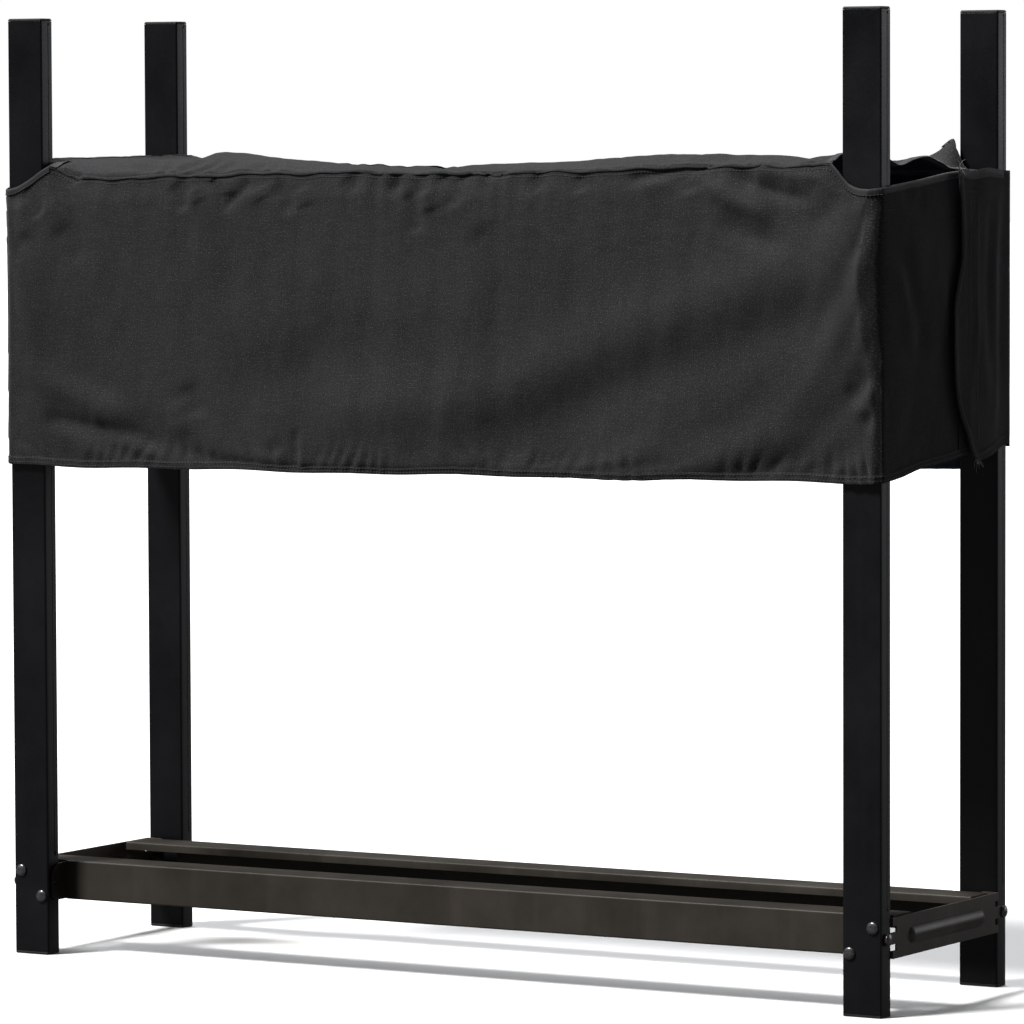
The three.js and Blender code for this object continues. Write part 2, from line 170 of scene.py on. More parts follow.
# ------------------------------------------------------------------ materials
def steel(name, base, rough, warm=0.0):
    """Satin powder coat over tube or sheet: orange peel, slight streaks and dust, rubbed edges."""
    k = Mat(name, Roughness=rough, IOR=1.5)
    k.b.inputs["Specular IOR Level"].default_value = 0.33
    k.b.inputs["Coat Weight"].default_value = 0.03
    k.b.inputs["Coat Roughness"].default_value = 0.22
    co = k.n("TexCoord", out=3)
    stretch = k.n("Mapping", {"Vector": co, "Scale": (30.0, 30.0, 2.2)})
    streak = k.noise(stretch, 1.0, 4.0, 0.6)
    cloud = k.noise(co, 9.0, 5.0, 0.6)
    fine = k.noise(co, 900.0, 2.0, 0.5)
    peel = k.noise(co, 420.0, 2.0, 0.5)
    dust = k.noise(co, 2600.0, 1.0, 0.5)
    wear = k.n("Attribute", attribute_name="edge", out=2)
    b0 = rgb(*base)
    b1 = rgb(*[c * 1.7 + 0.002 for c in base])
    c = k.mix(k.ramp(cloud, 0.35, 0.75, 0.0, 1.0), b0, b1)
    c = k.mix(k.ramp(streak, 0.55, 0.8, 0.0, 0.35), c, rgb(*[x * 2.6 + 0.004 for x in base]))
    c = k.mix(k.ramp(dust, 0.68, 0.80, 0.0, 0.35), c, rgb(0.075 + warm, 0.072 + warm * 0.6, 0.068))
    chip = k.math("MULTIPLY", wear, k.ramp(k.noise(co, 140.0, 4.0, 0.65), 0.5, 0.66, 0.0, 0.5))
    c = k.mix(chip, c, rgb(0.075, 0.072, 0.07))
    k.to("Base Color", c)
    k.to("Roughness", k.math("ADD", k.ramp(cloud, 0.3, 0.75, rough - 0.05, rough + 0.08),
                             k.ramp(fine, 0.3, 0.7, -0.05, 0.05)))
    n1 = k.bump(peel, 0.00016, 0.55)
    k.to("Normal", k.bump(k.noise(co, 60.0, 2.0, 0.5), 0.0004, 0.25, n1))
    return k.m


def plastic(name, base):
    k = Mat(name, Roughness=0.5, IOR=1.46)
    co = k.n("TexCoord", out=3)
    grain = k.noise(co, 1500.0, 3.0, 0.6)
    cloud = k.noise(co, 40.0, 4.0, 0.6)
    k.to("Base Color", k.mix(k.ramp(cloud, 0.3, 0.75, 0.0, 1.0), rgb(*base), rgb(*[c * 2.0 + 0.004 for c in base])))
    k.to("Roughness", k.ramp(cloud, 0.3, 0.7, 0.46, 0.62))
    k.to("Normal", k.bump(grain, 0.00012, 0.5))
    return k.m


def bolt_mat(name):
    k = Mat(name, IOR=1.6)
    k.b.inputs["Specular IOR Level"].default_value = 0.75
    k.b.inputs["Coat Weight"].default_value = 0.5
    k.b.inputs["Coat Roughness"].default_value = 0.12
    co = k.n("TexCoord", out=3)
    cloud = k.noise(co, 260.0, 4.0, 0.6)
    k.to("Base Color", k.mix(k.ramp(cloud, 0.35, 0.75, 0.0, 1.0), rgb(0.022, 0.022, 0.025), rgb(0.062, 0.060, 0.062)))
    k.to("Roughness", k.ramp(cloud, 0.3, 0.75, 0.2, 0.38))
    k.to("Normal", k.bump(k.noise(co, 1400.0, 2.0, 0.5), 0.00008, 0.4))
    return k.m


def cloth_mat(name, base, light, sheen, rough, pitch=0.00105, painted_glint=1.0):
    """Plain-woven polyester. The weave follows the cut's own flat coordinates, in metres. Its colour holds painted
    shade between the yarns and painted glints on slubs and yarns.
    """
    k = Mat(name, Roughness=rough, IOR=1.3)
    k.b.inputs["Specular IOR Level"].default_value = 0.10
    k.b.inputs["Sheen Weight"].default_value = sheen
    k.b.inputs["Sheen Roughness"].default_value = 0.30
    k.b.inputs["Sheen Tint"].default_value = rgb(0.96, 0.98, 1.0)
    cut = k.n("Attribute", attribute_name="cut", out=1)
    sep = k.t.nodes.new("ShaderNodeSeparateXYZ")
    k.t.links.new(cut, sep.inputs[0])
    co = cut
    wob = k.noise(co, 55.0, 2.0, 0.5)
    wob = k.math("MULTIPLY", k.math("SUBTRACT", wob, 0.5), 0.0016)
    u = k.math("DIVIDE", k.math("ADD", sep.outputs[0], wob), pitch)
    v = k.math("DIVIDE", k.math("ADD", sep.outputs[1], wob), pitch)
    su = k.math("ABSOLUTE", k.math("SINE", k.math("MULTIPLY", u, math.pi)))
    sv = k.math("ABSOLUTE", k.math("SINE", k.math("MULTIPLY", v, math.pi)))
    par = k.math("MODULO", k.math("ADD", k.math("FLOOR", u), k.math("FLOOR", v)), 2.0)
    par = k.math("ABSOLUTE", par)
    over = k.math("MULTIPLY", par, k.math("MULTIPLY", su, k.math("ADD", k.math("MULTIPLY", sv, 0.4), 0.6)))
    under = k.math("MULTIPLY", k.math("SUBTRACT", 1.0, par),
                   k.math("MULTIPLY", sv, k.math("ADD", k.math("MULTIPLY", su, 0.4), 0.6)))
    weave = k.math("ADD", over, under)
    yarn_u = k.noise(k.n("Mapping", {"Vector": co, "Scale": (900.0, 26.0, 26.0)}), 1.0, 2.0, 0.6)
    yarn_v = k.noise(k.n("Mapping", {"Vector": co, "Scale": (26.0, 900.0, 26.0)}), 1.0, 2.0, 0.6)
    yarn_tone_and_glint = k.math("MULTIPLY", k.math("ADD", yarn_u, yarn_v), 0.5)
    slub_and_glint = k.noise(co, 620.0, 2.0, 0.7)
    cloud = k.noise(co, 5.5, 5.0, 0.62)
    c = k.mix(k.ramp(cloud, 0.32, 0.72, 0.0, 1.0), rgb(*base), rgb(*light))
    # painted shade: the hollows between the yarns are darkened toward black
    c = k.mix(k.ramp(weave, 0.15, 0.95, 0.35, 0.0), c, rgb(0.002, 0.002, 0.003))
    # painted glints: slub specks and streaks along the yarns are lightened for the weave's sparkle, over slight real
    # unevenness of the yarn
    c = k.mix(k.ramp(slub_and_glint, 0.55, 0.74, 0.0, 0.66 * painted_glint), c, rgb(0.150, 0.152, 0.156))
    c = k.mix(k.ramp(yarn_tone_and_glint, 0.50, 0.62, 0.0, 0.14 * painted_glint), c, rgb(0.10, 0.102, 0.106))
    k.to("Base Color", c)
    k.to("Roughness", k.math("ADD", k.ramp(weave, 0.2, 1.0, rough + 0.10, rough - 0.08),
                             k.ramp(slub_and_glint, 0.3, 0.7, 0.07, -0.07)))
    nrm = k.bump(weave, 0.00022, 0.55)
    nrm = k.bump(slub_and_glint, 0.00035, 0.5, nrm)
    k.to("Normal", k.bump(k.noise(co, 70.0, 4.0, 0.6), 0.0012, 0.28, nrm))
    return k.m


def coated_mat(name):
    """The waterproof backing inside the cover: dark blue, softly glossy, with the weave showing through."""
    k = Mat(name, Roughness=0.42, IOR=1.45)
    cut = k.n("Attribute", attribute_name="cut", out=1)
    cloud = k.noise(cut, 16.0, 4.0, 0.6)
    k.to("Base Color", k.mix(k.ramp(cloud, 0.35, 0.7, 0.0, 1.0), rgb(0.006, 0.011, 0.032), rgb(0.011, 0.020, 0.054)))
    w = k.n("TexWave", {"Vector": cut, "Scale": 300.0, "Distortion": 1.5, "Detail": 2.0}, out=1)
    k.to("Roughness", k.ramp(cloud, 0.3, 0.7, 0.38, 0.56))
    k.to("Normal", k.bump(w, 0.0002, 0.35))
    return k.m


def tape_mat(name, base):
    """Woven binding tape: ribs across the tape, from its own flat coordinates. Its colour holds painted shade in the
    ribs' grooves and painted glints on slub specks.
    """
    k = Mat(name, Roughness=0.62, IOR=1.45)
    k.b.inputs["Sheen Weight"].default_value = 0.2
    k.b.inputs["Sheen Roughness"].default_value = 0.4
    cut = k.n("Attribute", attribute_name="cut", out=1)
    rib = k.n("TexWave", {"Vector": cut, "Scale": 190.0, "Distortion": 0.6, "Detail": 1.0}, out=1)
    slub_and_glint = k.noise(cut, 700.0, 3.0, 0.6)
    # painted shade: the grooves between the ribs are darkened to half the tape's colour
    c = k.mix(k.ramp(rib, 0.2, 0.9, 0.0, 1.0), rgb(*[x * 0.5 for x in base]), rgb(*base))
    # painted glints: slub specks lightened toward grey
    k.to("Base Color", k.mix(k.ramp(slub_and_glint, 0.55, 0.75, 0.0, 0.4), c, rgb(0.06, 0.06, 0.062)))
    k.to("Roughness", k.ramp(slub_and_glint, 0.3, 0.7, 0.55, 0.75))
    k.to("Normal", k.bump(slub_and_glint, 0.0002, 0.5, k.bump(rib, 0.0003, 0.7)))
    return k.m


def thread_mat(name, base):
    k = Mat(name, Roughness=0.55, IOR=1.45)
    k.b.inputs["Sheen Weight"].default_value = 0.2
    co = k.n("TexCoord", out=3)
    twist = k.n("TexWave", {"Vector": co, "Scale": 900.0, "Distortion": 3.0, "Detail": 2.0}, out=1)
    # painted shade: the grooves of the twist are darkened to half the thread's colour
    k.to("Base Color", k.mix(twist, rgb(*[x * 0.5 for x in base]), rgb(*base)))
    k.to("Normal", k.bump(twist, 0.0001, 0.6))
    return k.m


def hookloop_mat(name, base, tip, scale):
    k = Mat(name, Roughness=0.8, IOR=1.45)
    k.b.inputs["Sheen Weight"].default_value = 0.1
    k.b.inputs["Sheen Roughness"].default_value = 0.5
    cut = k.n("Attribute", attribute_name="cut", out=1)
    vor = k.n("TexVoronoi", {"Vector": cut, "Scale": scale}, out=0)
    nz = k.noise(cut, scale * 0.7, 3.0, 0.7)
    # painted highlight and shade: spots at the hook and loop tips lighter, the pile between them darker
    k.to("Base Color", k.mix(k.ramp(vor, 0.0, 0.55, 1.0, 0.0), rgb(*base), rgb(*tip)))
    k.to("Roughness", k.ramp(nz, 0.3, 0.7, 0.7, 0.95))
    k.to("Normal", k.bump(nz, 0.0008, 0.8, k.bump(vor, 0.0008, 0.9)))
    return k.m


M_POST = steel("coat_frame", (0.0026, 0.0029, 0.0038), 0.34)
# base rails: black coat given a warm brown tint and brightened, partly a painted reflection of logs lying above them
M_RAIL_COAT_AND_PAINTED_REFLECTION = steel("rail_coat_and_painted_reflection", (0.0275, 0.0232, 0.0190), 0.38, 0.006)
M_PLUG = plastic("plug_plastic", (0.010, 0.010, 0.011))
# end rails: black coat painted a brighter warm brown, a painted reflection of logs beside them
M_END_COAT_AND_PAINTED_REFLECTION = steel("coat_end_rail", (0.0640, 0.0510, 0.0400), 0.36, 0.008)
M_BOLT = bolt_mat("bolt_black")
M_CLOTH = cloth_mat("cover_weave", (0.0262, 0.0264, 0.0272), (0.0365, 0.0368, 0.0376), 0.27, 0.74)
M_INNER = coated_mat("cover_inside")
M_TAPE = tape_mat("binding_tape", (0.0175, 0.018, 0.0195))
M_THREAD = thread_mat("thread_dark", (0.060, 0.061, 0.064))
M_FRAY = thread_mat("thread_frayed", (0.55, 0.54, 0.52))
M_LOOP = hookloop_mat("loop_pile", (0.004, 0.004, 0.0045), (0.014, 0.014, 0.015), 900.0)
M_HOOK = hookloop_mat("hook_face", (0.010, 0.010, 0.011), (0.06, 0.06, 0.062), 700.0)


# ------------------------------------------------------------------ steel
def refine(node, mat, bevel=0.0004, segs=2, angle=28, body="frame"):
    """A finer copy of a CAD node: flat facets merged, sharp edges rounded, smooth normals."""
    src = NODES[node]
    bm = bmesh.new()
    bm.from_mesh(src.data)
    bmesh.ops.remove_doubles(bm, verts=bm.verts, dist=1e-6)
    bmesh.ops.dissolve_limit(bm, angle_limit=math.radians(0.6), verts=bm.verts, edges=bm.edges, use_dissolve_boundaries=False)
    sharp = [e for e in bm.edges if len(e.link_faces) == 2 and e.calc_face_angle(0) > math.radians(angle)]
    res = bmesh.ops.bevel(bm, geom=sharp, offset=bevel, offset_type="OFFSET", segments=segs, profile=0.5,
                          affect="EDGES", clamp_overlap=True, harden_normals=False)
    made = {f.index for f in res["faces"]}
    bm.faces.index_update()
    lay = bm.faces.layers.float.new("edge")
    for f in res["faces"]:
        if f.is_valid:
            f[lay] = 1.0
    bmesh.ops.triangulate(bm, faces=[f for f in bm.faces if len(f.verts) > 4])
    me = bpy.data.meshes.new(node + "_fine")
    bm.to_mesh(me)
    bm.free()
    me.shade_smooth()
    me.set_sharp_from_angle(angle=math.radians(50))
    o = link(node + "_fine", me, mat)
    w = o.modifiers.new("w", "WEIGHTED_NORMAL")
    w.keep_sharp = True
    w.weight = 80
    bake(o)
    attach(o, body)
    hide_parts(node)
    return o


for n in sorted(NODES):
    if n.startswith("post_"):
        refine(n, M_POST, 0.00035, 2, 28)
    elif n.startswith("base_rail_") or n.startswith("end_rail_"):
        refine(n, M_END_COAT_AND_PAINTED_REFLECTION if n.startswith("end_rail") else M_RAIL_COAT_AND_PAINTED_REFLECTION, 0.00035, 2, 28)
    elif n.startswith("top_cap_") or n.startswith("foot_"):
        refine(n, M_PLUG, 0.0005, 3, 24)


def tube_seam(name, x, y, sx, z0, z1):
    """The weld line left along a tube's narrow face: a low rounded bead, closed, half sunk in the wall."""
    r = np.random.default_rng(int(abs(x * 1000) + abs(y * 100) + (sx > 0) * 7))
    rows, prof = 150, 7
    V, F = [], []
    for i in range(rows + 1):
        z = z0 + (z1 - z0) * i / rows
        w = 0.0016 * (1 + 0.10 * math.sin(z * 61.0) + 0.06 * r.standard_normal())
        h = 0.00030 * (1 + 0.10 * math.sin(z * 83.0))
        for j in range(prof):
            a = math.pi * j / (prof - 1)
            V.append((x + sx * (h * math.sin(a) - 0.00005), y + w * math.cos(a), z))
        V.append((x - sx * 0.0006, y - w * 0.8, z))
        V.append((x - sx * 0.0006, y + w * 0.8, z))
    k = prof + 2
    for i in range(rows):
        for j in range(k):
            a, b = i * k + j, i * k + (j + 1) % k
            F.append((a, b, b + k, a + k))
    F.append(tuple(range(k))[::-1])
    F.append(tuple(rows * k + j for j in range(k)))
    me = mesh_from(name, V, F)
    bm = bmesh.new(); bm.from_mesh(me); bmesh.ops.recalc_face_normals(bm, faces=bm.faces); bm.to_mesh(me); bm.free()
    o = link(name, me, M_POST)
    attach(o, "frame")
    return o


for sy, fb in ((-1, "front"), (1, "back")):
    for sx, lr in ((-1, "left"), (1, "right")):
        # the weld faces the rack's right on every post, as the same tube stands in each corner
        lo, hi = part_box(f"post_{fb}_{lr}")
        tube_seam(f"weld_line_{fb}_{lr}", hi.x, (lo.y + hi.y) / 2 + 0.0035, 1, 0.124, hi.z - 0.002)


def frame_axes(axis):
    a = Vector(axis).normalized()
    t = Vector((0, 0, 1)) if abs(a.z) < 0.9 else Vector((1, 0, 0))
    u = a.cross(t).normalized()
    return a, u, a.cross(u)


def lathe(name, centre, axis, prof, segs=48, mat=None, closed=True):
    """prof: (distance along axis, radius) from the tip to the tail, both ends at radius 0."""
    a, u, v = frame_axes(axis)
    c = Vector(centre)
    V, F, rings = [], [], []
    for d, r in prof:
        if r < 1e-7:
            rings.append([len(V)])
            V.append(c + a * d)
        else:
            ring = []
            for s in range(segs):
                t = 2 * math.pi * s / segs
                ring.append(len(V))
                V.append(c + a * d + u * (r * math.cos(t)) + v * (r * math.sin(t)))
            rings.append(ring)
    for p, q in zip(rings, rings[1:]):
        for s in range(segs):
            s2 = (s + 1) % segs
            if len(p) == 1 and len(q) > 1:
                F.append((p[0], q[s], q[s2]))
            elif len(q) == 1 and len(p) > 1:
                F.append((p[s], q[0], p[s2]))
            elif len(p) > 1:
                F.append((p[s], q[s], q[s2], p[s2]))
    me = mesh_from(name, V, F)
    bm = bmesh.new(); bm.from_mesh(me); bmesh.ops.recalc_face_normals(bm, faces=bm.faces); bm.to_mesh(me); bm.free()
    me.set_sharp_from_angle(angle=math.radians(42))
    return link(name, me, mat)


def carriage_bolt(node, out):
    """out points from the shank to the domed head."""
    lo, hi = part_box(node)
    c = (lo + hi) / 2
    out = Vector(out)
    ax = max(range(3), key=lambda i: abs(out[i]))
    half = (hi[ax] - lo[ax]) / 2
    others = [i for i in range(3) if i != ax]
    R = (hi[others[0]] - lo[others[0]]) / 2
    H, sh = 0.0037, 0.0030
    tip = c + out * half
    prof = [(0.0, 0.0)]
    for i in range(1, 15):
        t = i / 14
        a = t * math.pi / 2
        prof.append((-(H - 0.0009) * (1 - math.cos(a)) ** 0.92, R * math.sin(a) ** 0.96))
    prof += [(-(H - 0.0006), R), (-(H - 0.0003), R - 0.0001), (-H, R - 0.0004), (-H, sh + 0.0004), (-H - 0.0004, sh)]
    L = 2 * half
    thread0 = max(H + 0.004, L - 0.013)
    prof.append((-thread0, sh))
    d = thread0
    while d < L - 0.0018:
        prof += [(-(d + 0.0003), sh - 0.0004), (-(d + 0.0006), sh - 0.0004), (-(d + 0.00095), sh - 0.00002), (-(d + 0.0011), sh - 0.00002)]
        d += 0.00125
    prof += [(-(L - 0.0006), sh - 0.0004), (-L, sh - 0.0010), (-L, 0.0)]
    o = lathe(node + "_fine", tip, out, prof, 40, M_BOLT)
    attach(o, "frame")
    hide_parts(node)
    return o


def hex_nut(node, axis):
    lo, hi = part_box(node)
    c = (lo + hi) / 2
    axis = Vector(axis)
    ax = max(range(3), key=lambda i: abs(axis[i]))
    h = (hi[ax] - lo[ax])
    AF = 0.0111
    a, u, v = frame_axes(axis)
    segs = 72
    hole = 0.0029
    rc = AF / 2 * 1.02
    V, F, rings = [], [], []

    def ring(fr, fz):
        r_ = []
        for s in range(segs):
            t = 2 * math.pi * s / segs
            rel = (t + math.pi / 6) % (math.pi / 3) - math.pi / 6
            rh = AF / 2 / math.cos(rel)
            r_.append(len(V))
            V.append(c + a * fz(rh) + u * (fr(rh) * math.cos(t)) + v * (fr(rh) * math.sin(t)))
        rings.append(r_)

    top = h / 2
    ch = lambda rh: max(0.0, rh - rc) * 0.58
    ring(lambda rh: hole, lambda rh: -top + 0.0004)
    ring(lambda rh: hole + 0.0004, lambda rh: -top)
    ring(lambda rh: min(rc, rh) - 0.0001, lambda rh: -top)
    ring(lambda rh: rh, lambda rh: -top + 0.0001 + ch(rh))
    ring(lambda rh: rh, lambda rh: top - 0.0001 - ch(rh))
    ring(lambda rh: min(rc, rh) - 0.0001, lambda rh: top)
    ring(lambda rh: hole + 0.0004, lambda rh: top)
    ring(lambda rh: hole, lambda rh: top - 0.0004)
    k = len(rings)
    for i in range(k):
        p, q = rings[i], rings[(i + 1) % k]
        for s in range(segs):
            s2 = (s + 1) % segs
            F.append((p[s], q[s], q[s2], p[s2]))
    me = mesh_from(node + "_fine", V, F)
    bm = bmesh.new(); bm.from_mesh(me); bmesh.ops.recalc_face_normals(bm, faces=bm.faces); bm.to_mesh(me); bm.free()
    me.set_sharp_from_angle(angle=math.radians(28))
    o = link(node + "_fine", me, M_BOLT)
    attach(o, "frame")
    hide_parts(node)
    return o


for n in sorted(NODES):
    if n.startswith("face_bolt_"):
        carriage_bolt(n, (0, -1 if "_front_" in n else 1, 0))
    elif n.startswith("side_bolt_"):
        carriage_bolt(n, (1 if "_right" in n else -1, 0, 0))
    elif n.startswith("nut_"):
        hex_nut(n, (0, -1 if "_front_" in n else 1, 0))


# ------------------------------------------------------------------ fields used to shape the cloth
def waves(p, q, scale, seed, count=26, aniso=(1.0, 1.0)):
    """Smooth seeded noise, about -1..1, over points (p, q); scale is its wavelength in metres."""
    r = np.random.default_rng(seed)
    out = np.zeros_like(p)
    for _ in range(count):
        a = r.uniform(0, 2 * np.pi)
        f = 2 * np.pi / scale * r.uniform(0.55, 1.5)
        out = out + np.sin(f * (np.cos(a) * p * aniso[0] + np.sin(a) * q * aniso[1]) + r.uniform(0, 2 * np.pi))
    return out / math.sqrt(count / 2) * 0.7


def sstep(t, a, b):
    t = np.clip((t - a) / (b - a), 0, 1)
    return t * t * (3 - 2 * t)


def ridge(p, q, pts, w, amp, taper=0.25, sharp=2.0):
    """A fold along a polyline: a bell across it, fading at both ends."""
    pts = np.array(pts, float)
    seg = np.diff(pts, axis=0)
    ln = np.hypot(*seg.T)
    tot = ln.sum()
    best = np.full(p.shape, 1e9)
    where = np.zeros(p.shape)
    s0 = 0.0
    for a, d, L in zip(pts, seg, ln):
        t = np.clip(((p - a[0]) * d[0] + (q - a[1]) * d[1]) / (L * L), 0, 1)
        dist = np.hypot(p - a[0] - t * d[0], q - a[1] - t * d[1])
        near = dist < best
        best = np.where(near, dist, best)
        where = np.where(near, (s0 + t * L) / tot, where)
        s0 += L
    fade = sstep(where, 0, taper) * (1 - sstep(where, 1 - taper, 1)) if taper > 0 else 1.0
    return amp * np.exp(-(best / w) ** sharp) * fade


def curve(x, pts):
    """Smooth interpolation through (x, value) pairs."""
    pts = sorted(pts)
    X = np.array([a for a, _ in pts]); Y = np.array([b for _, b in pts])
    m_ = np.zeros(len(X))
    d = np.diff(Y) / np.diff(X)
    m_[1:-1] = np.where(d[:-1] * d[1:] > 0, 2 * d[:-1] * d[1:] / (d[:-1] + d[1:] + 1e-12), 0)
    m_[0], m_[-1] = d[0], d[-1]
    x = np.clip(x, X[0], X[-1])
    i = np.clip(np.searchsorted(X, x) - 1, 0, len(X) - 2)
    h = X[i + 1] - X[i]
    t = (x - X[i]) / h
    return ((2 * t**3 - 3 * t**2 + 1) * Y[i] + (t**3 - 2 * t**2 + t) * h * m_[i]
            + (-2 * t**3 + 3 * t**2) * Y[i + 1] + (t**3 - t**2) * h * m_[i + 1])


# ------------------------------------------------------------------ the cover's panels
XE, XN, XT = 0.6125, 0.547, 0.592        # corner fold, post notch, top panel's end
YE, YN, YF = 0.1665, 0.132, 0.110        # corner fold, post notch, end panel's free edge
HEM = 0.6185

xs_h = np.concatenate([np.linspace(0, XN, 62), np.linspace(XN, XT, 6)[1:], np.linspace(XT, XE, 7)[1:]])
XS = np.concatenate([-xs_h[::-1][:-1], xs_h])
NX = len(XS)
TT = np.concatenate([np.linspace(0, 0.08, 6), np.linspace(0.08, 0.74, 22)[1:], np.linspace(0.74, 1.0, 20)[1:]])
NZ = len(TT)
ys_h = np.concatenate([np.linspace(0, 0.090, 9), np.linspace(0.090, YN, 9)[1:], np.linspace(YN, YE, 8)[1:]])
YS = np.concatenate([-ys_h[::-1][:-1], ys_h])
NY = len(YS)
ES = np.concatenate([np.linspace(-YE, -YE + 0.012, 5), np.linspace(-YE + 0.012, YF, 30)[1:]])

# heights of the sewn seam, the crown just behind it, and the openings' edges
SEAM_F = [(-0.547, 0.9870), (-0.53, 0.9805), (-0.507, 0.973), (-0.44, 0.9745), (-0.373, 0.9765), (-0.249, 0.980), (-0.134, 0.982),
          (-0.035, 0.9815), (0.02, 0.980), (0.13, 0.982), (0.28, 0.9856), (0.375, 0.988), (0.47, 0.9885), (0.547, 0.9905)]
SCOOP_R = [(0.547, 0.9905), (0.5530, 0.986), (0.563, 0.9750), (0.577, 0.9640), (0.593, 0.9600), (0.6125, 0.9590)]
SCOOP_L = [(-0.547, 0.9870), (-0.5600, 0.9812), (-0.5746, 0.9720), (-0.590, 0.9640), (-0.602, 0.9590), (-0.6125, 0.9565)]
CROWN_F = [(-0.60, 0.9895), (-0.553, 0.9910), (-0.534, 0.9935), (-0.520, 0.9958), (-0.500, 0.9972), (-0.434, 1.0000), (-0.360, 0.9998), (-0.316, 1.0005),
           (-0.264, 1.0020), (-0.16, 0.9955), (-0.06, 0.9887), (-0.017, 0.9850), (0.011, 0.9880), (0.053, 0.9940), (0.108, 0.9954), (0.163, 0.9967),
           (0.245, 1.0013), (0.299, 1.0054), (0.353, 1.0065), (0.412, 1.0017), (0.484, 1.0010), (0.534, 1.0005), (0.60, 0.9985)]
END_EDGE = [(-0.17, 0.995), (-0.132, 0.995), (-0.108, 0.993), (-0.083, 0.9872), (-0.049, 0.993), (-0.013, 0.997), (0.021, 0.990),
            (0.055, 0.982), (0.085, 0.982), (0.11, 0.979), (0.135, 0.976), (0.17, 0.976)]


END_LEFT = [(-0.17, 0.9920), (-0.132, 0.9935), (-0.100, 0.9955), (-0.050, 0.9962), (0.0, 0.9962), (0.05, 0.9968), (0.10, 0.9975), (0.132, 0.9960), (0.17, 0.988)]


def front_top(x):
    z = curve(x, SEAM_F) + (0.0011 * np.sin(x * 47.0 + 0.4) + 0.0008 * np.sin(x * 113.0)) * (1 - sstep(np.abs(x), 0.50, 0.54))
    z = np.where(x > XN, curve(x, SCOOP_R), z)
    return np.where(x < -XN, curve(x, SCOOP_L), z)


def back_top(x):
    z = curve(-x * 0.93 + 0.03, SEAM_F) + 0.0015
    zr = curve(np.abs(x), [(0.547, 0.0), (0.556, -0.004), (0.566, -0.0125), (0.579, -0.0200), (0.593, -0.0235), (0.6125, -0.0250)])
    return np.where(np.abs(x) > XN, np.where(x > 0, curve(np.array(-XN * 0.93 + 0.03), SEAM_F), curve(np.array(XN * 0.93 + 0.03), SEAM_F)) + 0.0015 + zr, z)


def hem_front(x):
    return HEM + 0.0035 * (x / 0.61) + 0.0012 * np.sin(x * 17.0 + 0.6) + 0.0008 * np.sin(x * 41.0)


def hem_back(x):
    return HEM + 0.0015 + 0.0014 * np.sin(x * 15.0 + 2.0) + 0.0008 * np.sin(x * 37.0) + 0.031 * sstep(np.abs(x), 0.545, 0.606)


def end_top(y, sx):
    return curve(y, [(-0.1665, 0.9590 if sx > 0 else 0.9560), (-0.14, 0.9628), (-0.07, 0.9695), (0.017, 0.9775), (0.06, 0.979), (0.110, 0.9785)])


def end_hem(y, sx):
    h0 = float(hem_front(np.array(sx * XE)))
    return curve(y, [(-0.1665, h0), (-0.12, h0 + 0.005), (-0.0715, h0 + 0.0125), (0.0, h0 + 0.0185), (0.0518, h0 + 0.0235), (0.110, h0 + 0.0255)])


